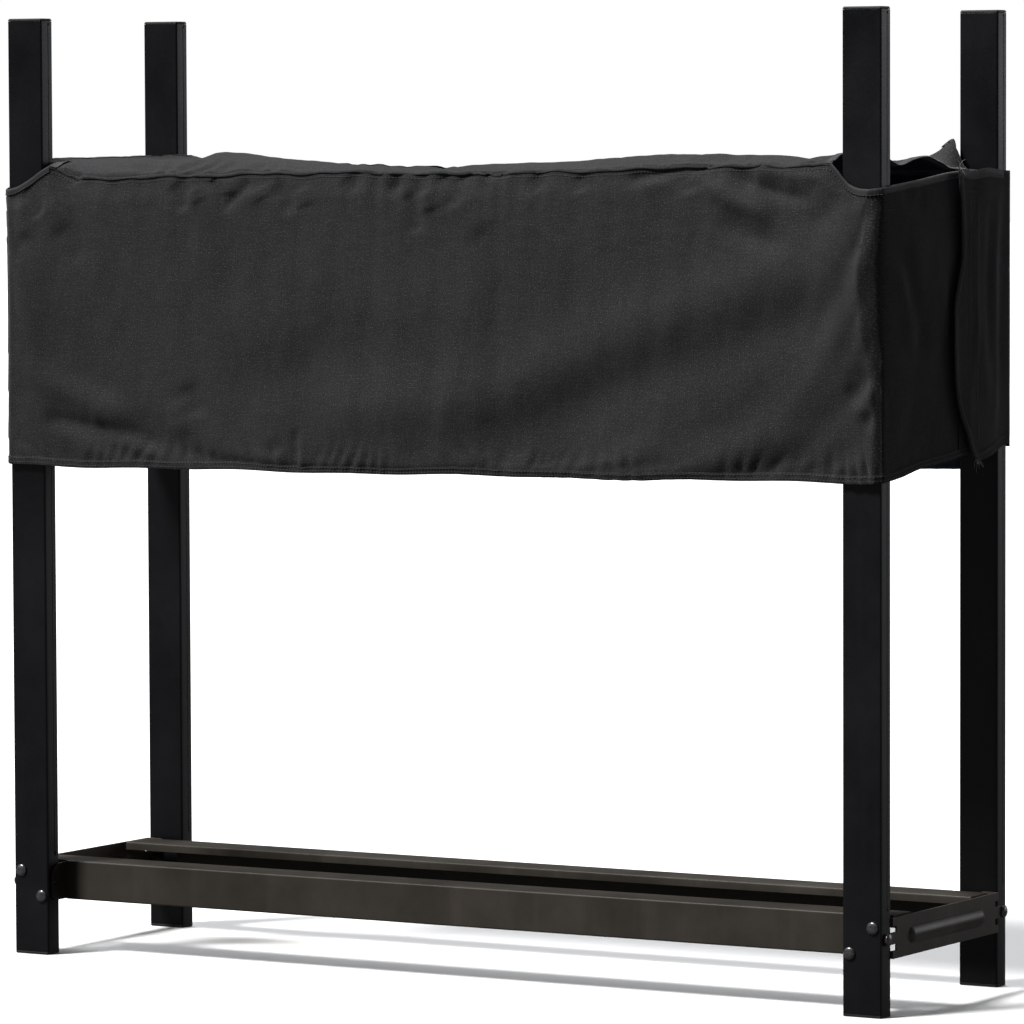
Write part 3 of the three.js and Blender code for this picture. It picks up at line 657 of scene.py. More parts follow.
def top_z(x, y):
    """The top panel: low seams front and back, a crown behind each, an uneven pile under the middle."""
    f = front_top(np.clip(x, -XN, XN)); b = back_top(np.clip(x, -XN, XN))
    cf = curve(x, CROWN_F); cb = curve(x + 0.158, CROWN_F) - 0.0022
    t = (y + YE) / (2 * YE)
    crown = cf * (1 - sstep(t, 0.3, 0.7)) + cb * sstep(t, 0.3, 0.7)
    mid = crown - 0.0035 - 0.0055 * np.exp(-((t - 0.5) / 0.22) ** 2) + 0.0018 * waves(x, y, 0.13, 11) + 0.0009 * waves(x, y, 0.05, 12)
    z = mid
    rise_f = 1 - (1 - np.clip(t / 0.15, 0, 1)) ** 2.3
    rise_b = 1 - (1 - np.clip((1 - t) / 0.15, 0, 1)) ** 2.3
    blend_f = sstep(t, 0.10, 0.30); blend_b = sstep(1 - t, 0.10, 0.30)
    zf = f + (cf - f) * rise_f
    zb = b + (cb - b) * rise_b
    z = zf * (1 - blend_f) + mid * blend_f
    z = np.where(t > 0.5, zb * (1 - blend_b) + mid * blend_b, z)
    # ends: the free edge lies in waves between the posts, lifted beside the posts
    e = sstep(np.abs(x), 0.47, 0.592)
    inner = sstep(t, 0.08, 0.2) * sstep(1 - t, 0.08, 0.2)
    z = z * (1 - e * inner) + np.where(x > 0, curve(y, END_EDGE), curve(y, END_LEFT)) * e * inner
    for sx, amp in ((1, 0.0285), (-1, 0.0010)):
        u = x * sx - 0.5605
        wide = np.where(u < 0, 0.024, 0.0065)
        z = z + amp * np.exp(-np.abs(u / wide) ** 1.6 - ((y - 0.138) / 0.028) ** 2)
    z = z - np.where(x > 0, 0.0110, 0.0) * sstep(x, 0.566, 0.578) * sstep(y, 0.085, 0.115)
    z = z + 0.0030 * np.exp(-((x - 0.556) / 0.018) ** 2 - ((y + 0.126) / 0.030) ** 2)
    # a raised fold just inside the rear left-hand post
    z = z + np.where(x < -0.470, sstep(x, -0.512, -0.478), np.exp(-((x + 0.478) / 0.060) ** 2)) * 0.0100 * np.exp(-((y - 0.118) / 0.030) ** 2)
    # small folds seen across the top
    z = z - ridge(x, y, [(-0.035, -0.165), (-0.010, -0.10), (0.01, -0.02), (0.03, 0.05)], 0.014, 0.0045)
    z = z + ridge(x, y, [(-0.36, -0.15), (-0.30, -0.115), (-0.22, -0.09)], 0.010, 0.0022)
    z = z - ridge(x, y, [(0.30, -0.16), (0.36, -0.12), (0.43, -0.07), (0.47, 0.02)], 0.012, 0.0050)
    z = z + ridge(x, y, [(0.33, -0.16), (0.41, -0.125), (0.50, -0.10)], 0.009, 0.0035)
    z = z - ridge(x, y, [(-0.52, -0.08), (-0.45, -0.02), (-0.40, 0.05)], 0.018, 0.0020)
    z = z + ridge(x, y, [(0.08, 0.12), (0.16, 0.03), (0.26, -0.05)], 0.012, 0.0030)
    return z


def front_out(x, z):
    """How far the front panel stands out of its flat plane, before it is simulated: the broad shapes."""
    top, hem = front_top(x), hem_front(x)
    t = np.clip((z - hem) / (top - hem), 0, 1)
    d = 0.0020 * waves(x, z, 0.42, 3, aniso=(1.0, 0.8)) + 0.0007 * waves(x, z, 0.14, 4, aniso=(1.0, 0.6))
    d = d * (0.35 + 0.65 * np.sin(np.pi * np.clip(t, 0.02, 1) ** 0.8))
    d = d + 0.0035 * np.sin(np.pi * t) ** 1.3
    d = d - 0.0065 * sstep(t, 0.91, 1.0)                                   # rolls over into the top
    # broad slack fold from the right-hand post down to the middle of the hem
    d = d + ridge(x, z, [(0.60, 0.905), (0.50, 0.870), (0.40, 0.838), (0.31, 0.808), (0.22, 0.765), (0.12, 0.715), (0.00, 0.700), (-0.15, 0.70)], 0.036, 0.0030, 0.18)
    d = d - ridge(x, z, [(0.58, 0.828), (0.50, 0.795), (0.40, 0.762), (0.31, 0.732), (0.22, 0.695), (0.14, 0.650)], 0.030, 0.0022, 0.22)
    # slack pushed out beside the right-hand post, then turned back round it
    d = d + 0.0100 * np.exp(-((x - 0.560) / 0.034) ** 2) * np.exp(-((z - 0.850) / 0.085) ** 2)
    # and at the left
    d = d + 0.0060 * np.exp(-((x + 0.572) / 0.030) ** 2) * np.exp(-((z - 0.80) / 0.14) ** 2)
    return d + 0.0022


def front_marks(x, z):
    """The sharper folds, dents and pulls on the front, added after the simulation."""
    d = np.zeros_like(x)
    for pts, w, amp, tp in (
        # dents under the seam
        ([(-0.312, 0.972), (-0.301, 0.955), (-0.287, 0.938), (-0.270, 0.952), (-0.252, 0.968)], 0.0050, -0.0040, 0.05),
        ([(-0.287, 0.972), (-0.285, 0.950)], 0.0080, 0.0026, 0.25),
        ([(-0.240, 0.962), (-0.232, 0.945)], 0.0100, 0.0026, 0.3),
        ([(-0.368, 0.966), (-0.352, 0.947), (-0.345, 0.930)], 0.0080, -0.0040, 0.25),
        ([(-0.335, 0.962), (-0.325, 0.940)], 0.0090, 0.0026, 0.3),
        ([(-0.222, 0.968), (-0.200, 0.948), (-0.190, 0.925)], 0.0080, -0.0045, 0.3),
        ([(-0.180, 0.962), (-0.172, 0.935)], 0.0100, 0.0026, 0.3),
        ([(-0.120, 0.972), (-0.100, 0.955)], 0.0070, -0.0030, 0.3),
        ([(-0.060, 0.956), (-0.034, 0.967)], 0.0060, -0.0036, 0.25),
        ([(-0.030, 0.956), (-0.018, 0.935), (-0.010, 0.905)], 0.0065, -0.0036, 0.2),
        ([(-0.004, 0.960), (0.006, 0.930)], 0.0100, 0.0036, 0.3),
        ([(0.018, 0.980), (0.030, 0.962), (0.040, 0.935)], 0.0065, -0.0044, 0.2),
        ([(0.040, 0.966), (0.066, 0.982)], 0.0055, -0.0040, 0.25),
        ([(0.046, 0.958), (0.062, 0.930), (0.08, 0.900)], 0.0120, 0.0040, 0.3),
        ([(0.072, 0.975), (0.116, 0.983)], 0.0050, -0.0034, 0.25),
        ([(0.140, 0.974), (0.155, 0.955)], 0.0080, -0.0026, 0.3),
        ([(0.205, 0.976), (0.215, 0.955)], 0.0090, -0.0030, 0.3),
        ([(0.265, 0.968), (0.32, 0.978), (0.40, 0.990)], 0.0060, -0.0042, 0.2),
        ([(0.285, 0.960), (0.34, 0.972)], 0.0080, 0.0030, 0.3),
        ([(0.348, 0.980), (0.360, 0.952)], 0.0075, -0.0046, 0.3),
        ([(0.372, 0.976), (0.41, 0.950), (0.48, 0.925)], 0.0110, 0.0046, 0.3),
        ([(0.405, 0.982), (0.45, 0.962), (0.53, 0.944)], 0.0080, -0.0045, 0.3),
        ([(0.440, 0.984), (0.50, 0.974), (0.55, 0.972)], 0.0070, 0.0030, 0.3),
        ([(0.39, 0.930), (0.44, 0.905), (0.50, 0.892)], 0.0120, -0.0030, 0.3),
        ([(0.560, 0.962), (0.545, 0.935), (0.52, 0.912)], 0.0100, -0.0036, 0.3),
        # round the left-hand post
        ([(-0.530, 0.990), (-0.516, 0.978), (-0.506, 0.966)], 0.0075, -0.0050, 0.2),
        ([(-0.583, 0.958), (-0.571, 0.942), (-0.557, 0.925)], 0.0070, -0.0062, 0.2),
        ([(-0.592, 0.950), (-0.585, 0.925), (-0.580, 0.89)], 0.0090, 0.0042, 0.3),
        ([(-0.556, 0.950), (-0.540, 0.925), (-0.525, 0.900)], 0.0110, 0.0036, 0.3),
        ([(-0.535, 0.930), (-0.515, 0.900), (-0.50, 0.86)], 0.0120, -0.0026, 0.3),
        # low on the left
        ([(-0.585, 0.745), (-0.54, 0.715), (-0.475, 0.690), (-0.40, 0.678)], 0.0160, 0.0046, 0.25),
        ([(-0.560, 0.676), (-0.475, 0.662), (-0.420, 0.657), (-0.376, 0.640)], 0.0085, -0.0036, 0.12),
        ([(-0.346, 0.722), (-0.334, 0.700), (-0.326, 0.676)], 0.0130, -0.0040, 0.3),
        ([(-0.362, 0.705), (-0.352, 0.675), (-0.350, 0.650)], 0.0120, 0.0030, 0.3),
        ([(-0.1845, 0.668), (-0.1825, 0.645), (-0.1840, 0.618)], 0.0034, -0.0036, 0.15),
        ([(-0.1780, 0.662), (-0.1760, 0.642), (-0.1775, 0.618)], 0.0040, 0.0024, 0.2),
        ([(-0.22, 0.652), (-0.205, 0.636)], 0.0080, -0.0022, 0.3),
        # beside the right-hand post
        ([(0.606, 0.752), (0.588, 0.726), (0.566, 0.716)], 0.0080, -0.0040, 0.25),
        ([(0.608, 0.736), (0.592, 0.712), (0.574, 0.700)], 0.0070, 0.0030, 0.25),
        ([(0.606, 0.700), (0.590, 0.686)], 0.0060, -0.0028, 0.25),
        ([(0.600, 0.950), (0.590, 0.905), (0.586, 0.87)], 0.0080, -0.0036, 0.3),
    ):
        long_ = np.hypot(pts[-1][0] - pts[0][0], pts[-1][1] - pts[0][1]) > 0.10
        d = d + ridge(x, z, pts, w * (1.1 if long_ else 1.38), amp * (1.2 if long_ else 0.92), tp)
    # the broad slack fold from the right-hand post down to the left, and a fainter one above it
    d = d + ridge(x, z, [(0.62, 0.905), (0.50, 0.868), (0.418, 0.838), (0.267, 0.792), (0.102, 0.722), (-0.038, 0.694), (-0.20, 0.690)], 0.034, 0.0042, 0.16)
    d = d - ridge(x, z, [(0.60, 0.842), (0.50, 0.806), (0.418, 0.776), (0.267, 0.728), (0.120, 0.662), (0.0, 0.640)], 0.030, 0.0036, 0.18)
    d = d + ridge(x, z, [(-0.10, 0.86), (-0.22, 0.80), (-0.32, 0.77)], 0.045, 0.0030, 0.3)
    d = d - ridge(x, z, [(-0.02, 0.80), (-0.14, 0.745), (-0.30, 0.715)], 0.040, 0.0030, 0.3)
    d = d + ridge(x, z, [(0.58, 0.680), (0.46, 0.662), (0.34, 0.645), (0.22, 0.634)], 0.022, 0.0034, 0.25)
    # the left-hand edge is pulled in down its length
    d = d + ridge(x, z, [(-0.585, 0.90), (-0.578, 0.80), (-0.572, 0.70)], 0.020, 0.0034, 0.25)
    return d


def back_out(x, z):
    top, hem = back_top(x), hem_back(x)
    t = np.clip((z - hem) / (top - hem), 0, 1)
    d = 0.0022 * waves(x, z, 0.40, 23, aniso=(1.0, 0.8)) + 0.0010 * waves(x, z, 0.13, 24, aniso=(1.0, 0.6))
    d = d * (0.35 + 0.65 * np.sin(np.pi * np.clip(t, 0.02, 1) ** 0.8)) + 0.0025 * np.sin(np.pi * t) ** 1.3
    d = d - 0.0050 * sstep(t, 0.90, 1.0)
    d = d + ridge(x, z, [(-0.58, 0.90), (-0.42, 0.85), (-0.25, 0.78), (-0.10, 0.70)], 0.036, 0.0035, 0.25)
    d = d - ridge(x, z, [(-0.55, 0.83), (-0.40, 0.79), (-0.24, 0.72)], 0.032, 0.0030, 0.25)
    d = d + ridge(x, z, [(0.55, 0.93), (0.40, 0.88), (0.28, 0.80)], 0.020, 0.0030, 0.25)
    for a, b, c_ in ((-0.45, 0.962, 0.004), (-0.21, 0.965, 0.005), (0.04, 0.962, 0.004), (0.22, 0.968, 0.005), (0.46, 0.965, 0.004)):
        d = d - ridge(x, z, [(a - 0.02, b + 0.01), (a, b - 0.03), (a + 0.025, b + 0.005)], 0.010, c_, 0.15)
    edge = 1 - sstep(np.abs(x), 0.585, XE)
    return np.clip(d * (0.1 + 0.9 * edge) + 0.0018, 0.0004, 0.02)


def end_out(y, z, sx):
    top, hem = end_top(y, sx), end_hem(y, sx)
    t = np.clip((z - hem) / (top - hem), 0, 1)
    d = 0.0014 * waves(y, z, 0.20, 31 + (sx > 0), aniso=(1.0, 0.7)) + 0.0007 * waves(y, z, 0.07, 33 + (sx > 0))
    d = d * (0.3 + 0.7 * np.sin(np.pi * t))
    d = d + 0.0022 * np.sin(np.pi * np.clip((y + YE) / (YE + 0.02), 0, 1)) * np.sin(np.pi * t) ** 0.7
    d = d - ridge(y, z, [(-0.125, 0.955), (-0.080, 0.945), (-0.050, 0.950)], 0.010, 0.0025, 0.3)
    d = d + ridge(y, z, [(-0.150, 0.90), (-0.110, 0.84), (-0.085, 0.76)], 0.014, 0.0025, 0.3)
    d = d - ridge(y, z, [(-0.125, 0.90), (-0.090, 0.83), (-0.065, 0.75)], 0.013, 0.0020, 0.3)
    # flat under the flap's fastening
    d = d * (1 - sstep(y, -0.005, 0.03)) * sstep(y, -YE, -0.12)
    return d


# where the cloth folds round the front corners: it stands off the post, most of all at mid height on the right
FOLD_R = [(0.60, 0.6045, -0.1735), (0.640, 0.6040, -0.1740), (0.70, 0.6040, -0.1745), (0.725, 0.6010, -0.1765), (0.76, 0.5985, -0.1785), (0.81, 0.5925, -0.1845),
          (0.86, 0.5900, -0.1868), (0.90, 0.5925, -0.1840), (0.93, 0.5955, -0.1805), (0.960, 0.6000, -0.1765), (1.0, 0.6010, -0.1755)]
FOLD_L = [(0.60, 0.6075, -0.1710), (0.68, 0.6060, -0.1725), (0.80, 0.6005, -0.1775), (0.87, 0.6010, -0.1770), (0.92, 0.6040, -0.1745), (0.957, 0.6070, -0.1710), (1.0, 0.6070, -0.1710)]


def fold(z, sx):
    F_ = FOLD_R if sx > 0 else FOLD_L
    return curve(z, [(a, b) for a, b, _ in F_]), curve(z, [(a, c) for a, _, c in F_])


def build_cover():
    """One sewn sheet: front, top, back and both ends, on grids that share their seams."""
    V, cut, part = [], [], []
    idx = {}

    def put(key, p, c, pt):
        if key not in idx:
            idx[key] = len(V)
            V.append(p); cut.append(c); part.append(pt)
        return idx[key]

    X = XS
    zt, zh = front_top(X), hem_front(X)
    zbt, zbh = back_top(X), hem_back(X)
    tt = TT
    # front
    P, Q = np.meshgrid(X, tt, indexing="ij")
    Z = zh[:, None] + (zt - zh)[:, None] * Q
    Yf = -YE - front_out(P, Z)
    PXf = P.copy()
    for sx in (1, -1):
        vx, vy = fold(Z, sx)
        k = np.where(P * sx > 0, np.clip((np.abs(P) - 0.530) / (XE - 0.530), 0, 1) ** 1.6, 0.0)
        PXf = np.where(P * sx > 0, P - sx * (XE - vx) * k, PXf)
        k2 = np.where(P * sx > 0, np.clip((np.abs(P) - 0.535) / (XE - 0.535), 0, 1) ** 2.0, 0.0)
        Yf = Yf * (1 - k2) + vy * k2
    for i in range(NX):
        for j in range(NZ):
            put(("f", i, j), (PXf[i, j], Yf[i, j], Z[i, j]), (P[i, j], Z[i, j], 0), 0)
    # back
    Zb = zbh[:, None] + (zbt - zbh)[:, None] * Q
    Yb = YE + back_out(P, Zb)
    for i in range(NX):
        for j in range(NZ):
            put(("b", i, j), (P[i, j], Yb[i, j], Zb[i, j]), (P[i, j] + 3.0, Zb[i, j], 0), 1)
    # top
    iN0, iN1 = int(np.argmin(abs(X + XN))), int(np.argmin(abs(X - XN)))
    iT0, iT1 = int(np.argmin(abs(X + XT))), int(np.argmin(abs(X - XT)))
    jN0, jN1 = int(np.argmin(abs(YS + YN))), int(np.argmin(abs(YS - YN)))
    PX, PY = np.meshgrid(X, YS, indexing="ij")
    ZT = top_z(PX, PY)
    # the top's grid: its edge rows are the front's and back's top rows, its corners beside the notches left out
    for i in range(iT0, iT1 + 1):
        for j in range(NY):
            if iN0 <= i <= iN1 and j == 0:
                idx[("t", i, j)] = idx[("f", i, NZ - 1)]
                continue
            if iN0 <= i <= iN1 and j == NY - 1:
                idx[("t", i, j)] = idx[("b", i, NZ - 1)]
                continue
            if not (iN0 <= i <= iN1) and not (jN0 <= j <= jN1):
                continue
            x_, y_ = PX[i, j], PY[i, j]
            put(("t", i, j), (x_, y_, ZT[i, j]), (x_, 0.985 + y_ + YE, 0), 2)
    # ends
    for sx, key, col in ((1, "r", NX - 1), (-1, "l", 0)):
        et, eh = end_top(ES, sx), end_hem(ES, sx)
        PE, QE = np.meshgrid(ES, tt, indexing="ij")
        ZE = eh[:, None] + (et - eh)[:, None] * QE
        XO = XE + 0.0006 + end_out(PE, ZE, sx)
        vx, vy = fold(ZE, sx)
        q = np.clip((PE + YE) / 0.0465, 0, 1)
        YO = np.where(q < 1, vy + (-0.120 - vy) * q, PE)
        turn = np.clip((-0.1655 - YO) / (-0.1655 - vy), 0, 1)      # 1 at the fold, 0 where the cloth meets the post's corner
        XO = np.where(turn > 0, vx + (0.6124 - vx) * (1 - turn ** 1.25), XO)
        for i in range(len(ES)):
            for j in range(NZ):
                if i == 0:
                    idx[(key, i, j)] = idx[("f", col, j)]
                    continue
                put((key, i, j), (sx * XO[i, j], YO[i, j], ZE[i, j]), (sx * (XE + PE[i, j] + YE), ZE[i, j], 0), 3 if sx > 0 else 4)
    F = []

    def quad(a, b, c, d, flip=False):
        if all(k in idx for k in (a, b, c, d)):
            q = [idx[a], idx[b], idx[c], idx[d]]
            F.append(q[::-1] if flip else q)

    for i in range(NX - 1):
        for j in range(NZ - 1):
            quad(("f", i, j), ("f", i + 1, j), ("f", i + 1, j + 1), ("f", i, j + 1))
            quad(("b", i, j), ("b", i + 1, j), ("b", i + 1, j + 1), ("b", i, j + 1), True)
    for i in range(iT0, iT1):
        for j in range(NY - 1):
            quad(("t", i, j), ("t", i + 1, j), ("t", i + 1, j + 1), ("t", i, j + 1))
    for key, flip in (("r", False), ("l", True)):
        for i in range(len(ES) - 1):
            for j in range(NZ - 1):
                quad((key, i, j), (key, i + 1, j), (key, i + 1, j + 1), (key, i, j + 1), flip)
    return np.array(V, float), F, np.array(cut, float), np.array(part), idx, (iN0, iN1, iT0, iT1, jN0, jN1)


CV, CF, CCUT, CPART, CIDX, (iN0, iN1, iT0, iT1, jN0, jN1) = build_cover()


def put_cut(me, cut):
    a = me.attributes.new("cut", "FLOAT_VECTOR", "POINT")
    a.data.foreach_set("vector", np.asarray(cut, np.float32).ravel())


cover_me = mesh_from("cover_shell", CV, CF)
put_cut(cover_me, CCUT)
cover = link("cover_shell", cover_me, M_CLOTH, M_INNER)


def simulate(o, V, goal, shrink, frames, expand, tight):
    """Cloth that starts in its sewn shape, slack in the panels and tight along the seams, held by soft goals."""
    g = o.vertex_groups.new(name="goal")
    s = o.vertex_groups.new(name="shrink")
    for i, (a, b) in enumerate(zip(goal, shrink)):
        g.add([i], float(a), "REPLACE")
        s.add([i], float(b), "REPLACE")
    md = o.modifiers.new("cloth", "CLOTH")
    cs = md.settings
    cs.quality = 6
    cs.mass = 0.30
    cs.tension_stiffness = 25
    cs.compression_stiffness = 25
    cs.shear_stiffness = 6
    cs.bending_stiffness = 0.35
    cs.tension_damping = cs.compression_damping = 12
    cs.shear_damping = 8
    cs.bending_damping = 0.6
    cs.air_damping = 4
    cs.vertex_group_mass = "goal"
    cs.pin_stiffness = 1.6
    cs.effector_weights.gravity = 0.45
    cs.vertex_group_shrink = "shrink"
    cs.shrink_min = -expand
    cs.shrink_max = tight
    md.collision_settings.use_collision = False
    md.collision_settings.use_self_collision = False
    md.point_cache.frame_start = 1
    md.point_cache.frame_end = frames
    SC.frame_start, SC.frame_end = 1, frames
    for f in range(1, frames + 1):
        SC.frame_set(f)
    bpy.context.view_layer.update()
    dg = bpy.context.evaluated_depsgraph_get()
    ev = o.evaluated_get(dg)
    me = ev.to_mesh()
    out = np.empty(len(V) * 3)
    me.vertices.foreach_get("co", out)
    ev.to_mesh_clear()
    o.modifiers.remove(md)
    o.vertex_groups.clear()
    SC.frame_set(1)
    return out.reshape(-1, 3)


# where cloth is sewn, bound or wrapped round a post it is held; elsewhere it is free to buckle
def goals():
    n = len(CV)
    goal = np.full(n, 0.10)
    shr = np.zeros(n)
    x, y, z = CV.T
    front, backp, top = CPART == 0, CPART == 1, CPART == 2
    ends = CPART >= 3
    ft = np.where(front, front_top(x), back_top(x))
    hm = np.where(front, hem_front(x), hem_back(x))
    wall = front | backp
    d_top = np.where(wall, ft - z, 9.0)
    d_hem = np.where(wall, z - hm, 9.0)
    d_top = np.where(ends, 9.0, d_top)
    et = np.where(ends, np.where(x > 0, end_top(y, 1), end_top(y, -1)), 0)
    eh = np.where(ends, np.where(x > 0, end_hem(y, 1), end_hem(y, -1)), 0)
    d_bind = np.where(ends, et - z, 9.0)
    d_hem = np.where(ends, z - eh, d_hem)
    d_top = np.where(top, YE - np.abs(y), d_top)
    seam = np.exp(-(d_top / 0.010) ** 2)
    hem = np.exp(-(d_hem / 0.014) ** 2)
    bind = np.exp(-(d_bind / 0.012) ** 2)
    notch = top & ((np.abs(x) > XN - 0.02) & (np.abs(y) > YN - 0.02) | (np.abs(x) > XT - 0.012))
    goal = np.maximum(goal, 0.42 * seam)
    goal = np.maximum(goal, 0.22 * hem)
    goal = np.maximum(goal, 0.55 * bind)
    goal = np.where(notch, np.maximum(goal, 0.55), goal)
    corner = sstep(np.abs(x), 0.594, 0.609) * (~top)
    goal = np.maximum(goal, 0.75 * corner)
    goal = np.where(ends, np.maximum(goal, 0.30 + 0.5 * sstep(y, 0.0, 0.05)), goal)
    shr = np.maximum(shr, 1.0 * seam)
    shr = np.maximum(shr, 0.85 * hem)
    shr = np.maximum(shr, 0.7 * bind)
    return goal, shr


g_, s_ = goals()
SIM = simulate(cover, CV, g_, s_, 24, 0.012, 0.012)
move = SIM - CV
ln = np.linalg.norm(move, axis=1, keepdims=True)
cap = 0.012
SIM = CV + 0.40 * move * np.minimum(1.0, cap / np.maximum(ln, 1e-9))
print("cloth moved", float(np.percentile(ln, 50)), float(np.percentile(ln, 95)), float(ln.max()))


def clear_posts(P):
    """Keeps cloth outside the posts' faces and inside the space the cover has."""
    P = P.copy()
    x, y, z = P.T
    f = CPART == 0
    P[f, 1] = np.clip(P[f, 1], -0.1880, np.where(np.abs(P[f, 0]) < 0.545, -0.1600, -0.1672))
    b = CPART == 1
    P[b, 1] = np.clip(P[b, 1], 0.1668, 0.1800)
    e = (CPART >= 3) & (P[:, 1] > -0.1645)
    P[e, 0] = np.sign(P[e, 0]) * np.clip(np.abs(P[e, 0]), 0.6122, 0.6160)
    e2 = e & (P[:, 1] > 0.0)
    P[e2, 0] = np.sign(P[e2, 0]) * np.clip(np.abs(P[e2, 0]), 0.6122, 0.6136)
    t = CPART == 2
    near = t & (np.abs(P[:, 0]) > 0.540) & (np.abs(P[:, 1]) > 0.130)
    P[near, 0] = np.sign(P[near, 0]) * np.minimum(np.abs(P[near, 0]), 0.5575)
    near = t & (np.abs(P[:, 0]) > 0.556)
    P[near, 1] = np.sign(P[near, 1]) * np.minimum(np.abs(P[near, 1]), 0.1380)
    return P


SIM = clear_posts(SIM)
cover.data.vertices.foreach_set("co", SIM.astype(np.float32).ravel())
cover.data.update()
sub = cover.modifiers.new("sub", "SUBSURF")
sub.levels = sub.render_levels = 1
sub.boundary_smooth = "PRESERVE_CORNERS"
bake(cover)


def pucker(me):
    """Fine sewn-in gathers along the seams, hems and bindings, and the sharper folds, moved along the normals."""
    n = len(me.vertices)
    co = np.empty(n * 3); me.vertices.foreach_get("co", co); co = co.reshape(-1, 3)
    no = np.empty(n * 3); me.vertex_normals.foreach_get("vector", no); no = no.reshape(-1, 3)
    x, y, z = co.T
    frontish = (no[:, 1] < -0.45); backish = (no[:, 1] > 0.45); endish = np.abs(no[:, 0]) > 0.6; topish = no[:, 2] > 0.65
    d = np.zeros(n)
    for mask, hem, topf, sd in ((frontish, hem_front(x), front_top(x), 1), (backish, hem_back(x), back_top(x), 2)):
        dh = np.clip(z - hem, 0, 1); dt = np.abs(topf - z)
        ph = (x + 0.55 * dh * np.sin(x * 21.0 + 1.0)) * 2 * np.pi / 0.0215 + 3.2 * waves(x, z * 0.15, 0.10, 40 + sd)
        gather = (np.abs(np.sin(ph * 0.5)) ** 0.7 * 2 - 1.2) * np.clip(0.70 + 0.60 * waves(x, z * 0.1, 0.13, 44 + sd), 0.38, 1.5)
        d = np.where(mask, 0.00230 * gather * np.exp(-((dh - 0.016) / 0.015) ** 2), d)
        ph2 = x * 2 * np.pi / 0.034 + 3.2 * waves(x, z * 0.2, 0.10, 50 + sd) + 5.0 * dt * np.sin(x * 19.0 + 1.0)
        g2 = np.sin(ph2) * (0.5 + 0.7 * waves(x, z * 0.1, 0.17, 54 + sd))
        d = np.where(mask, d + 0.0013 * g2 * np.exp(-((dt - 0.012) / 0.024) ** 2), d)
    side_fade = 1 - sstep(np.abs(x), 0.600, 0.611)
    d = np.where(frontish, d + front_marks(x, z) * side_fade, d)
    d = np.where(backish, d + front_marks(-x * 0.96 + 0.02, z) * 0.8 * side_fade, d)
    g3 = np.sin(y * 2 * np.pi / 0.020 + 2.3 * waves(y, z * 0.2, 0.09, 61))
    eh = np.where(x > 0, end_hem(y, 1), end_hem(y, -1))
    d = np.where(endish, 0.00070 * g3 * np.exp(-(np.abs(z - eh) / 0.020) ** 2) * (1 - sstep(y, 0.0, 0.02)), d)
    g4 = np.sin(x * 2 * np.pi / 0.031 + 3.0 * waves(x, y, 0.10, 71)) * (0.5 + 0.7 * waves(x, y, 0.2, 72))
    d = np.where(topish, 0.0014 * g4 * np.exp(-((YE - np.abs(y)) / 0.035) ** 2), d)
    # soft fine wrinkling over the whole of the cloth
    fine = 0.00030 * waves(x + 0.3 * y, z + y, 0.055, 81, aniso=(1.0, 0.7)) + 0.00018 * waves(x + y, z + 0.7 * y, 0.024, 82)
    d = d + fine * np.where(endish, 0.6, 1.0)
    hold = sstep(np.abs(x), 0.60, 0.611) * (~topish)
    d = d * (1 - 0.8 * hold)
    co = co + no * d[:, None]
    f = (y < -0.160) & (np.abs(no[:, 1]) > 0.4)
    inner = np.where(np.abs(x) < 0.545, -0.1580, -0.1668)
    co[f, 1] = np.clip(co[f, 1], -0.1890, inner[f])
    me.vertices.foreach_set("co", co.astype(np.float32).ravel())
    me.update()


pucker(cover.data)


# ------------------------------------------------------------------ laying tapes and stitches on the cloth
def bvh_of(me):
    n = len(me.vertices)
    co = np.empty(n * 3); me.vertices.foreach_get("co", co)
    return BVHTree.FromPolygons([Vector(c) for c in co.reshape(-1, 3)], [tuple(p.vertices) for p in me.polygons])


COVER_BVH = bvh_of(cover.data)


def grid_point(key, u, v):
    """A point of the sewn sheet's own grid, by fractional indices."""
    i, j = int(math.floor(u)), int(math.floor(v))
    fu, fv = u - i, v - j
    p = np.zeros(3); w = 0.0
    for a, wa in ((i, 1 - fu), (i + 1, fu)):
        for b, wb in ((j, 1 - fv), (j + 1, fv)):
            k = (key, a, b)
            if wa * wb > 1e-9 and k in CIDX:
                p = p + wa * wb * SIM[CIDX[k]]
                w += wa * wb
    return Vector(p / w)


def snap(p, bvh=None):
    loc, nor, _, _ = (bvh or COVER_BVH).find_nearest(p)
    return loc, nor


def resample(path, step):
    pts = [Vector(p) for p in path]
    L = [0.0]
    for a, b in zip(pts, pts[1:]):
        L.append(L[-1] + (b - a).length)
    n = max(2, int(round(L[-1] / step)))
    out, k = [], 0
    for i in range(n + 1):
        s = L[-1] * i / n
        while k < len(L) - 2 and L[k + 1] < s:
            k += 1
        t = (s - L[k]) / max(1e-9, L[k + 1] - L[k])
        out.append(pts[k].lerp(pts[k + 1], min(1, max(0, t))))
    return out


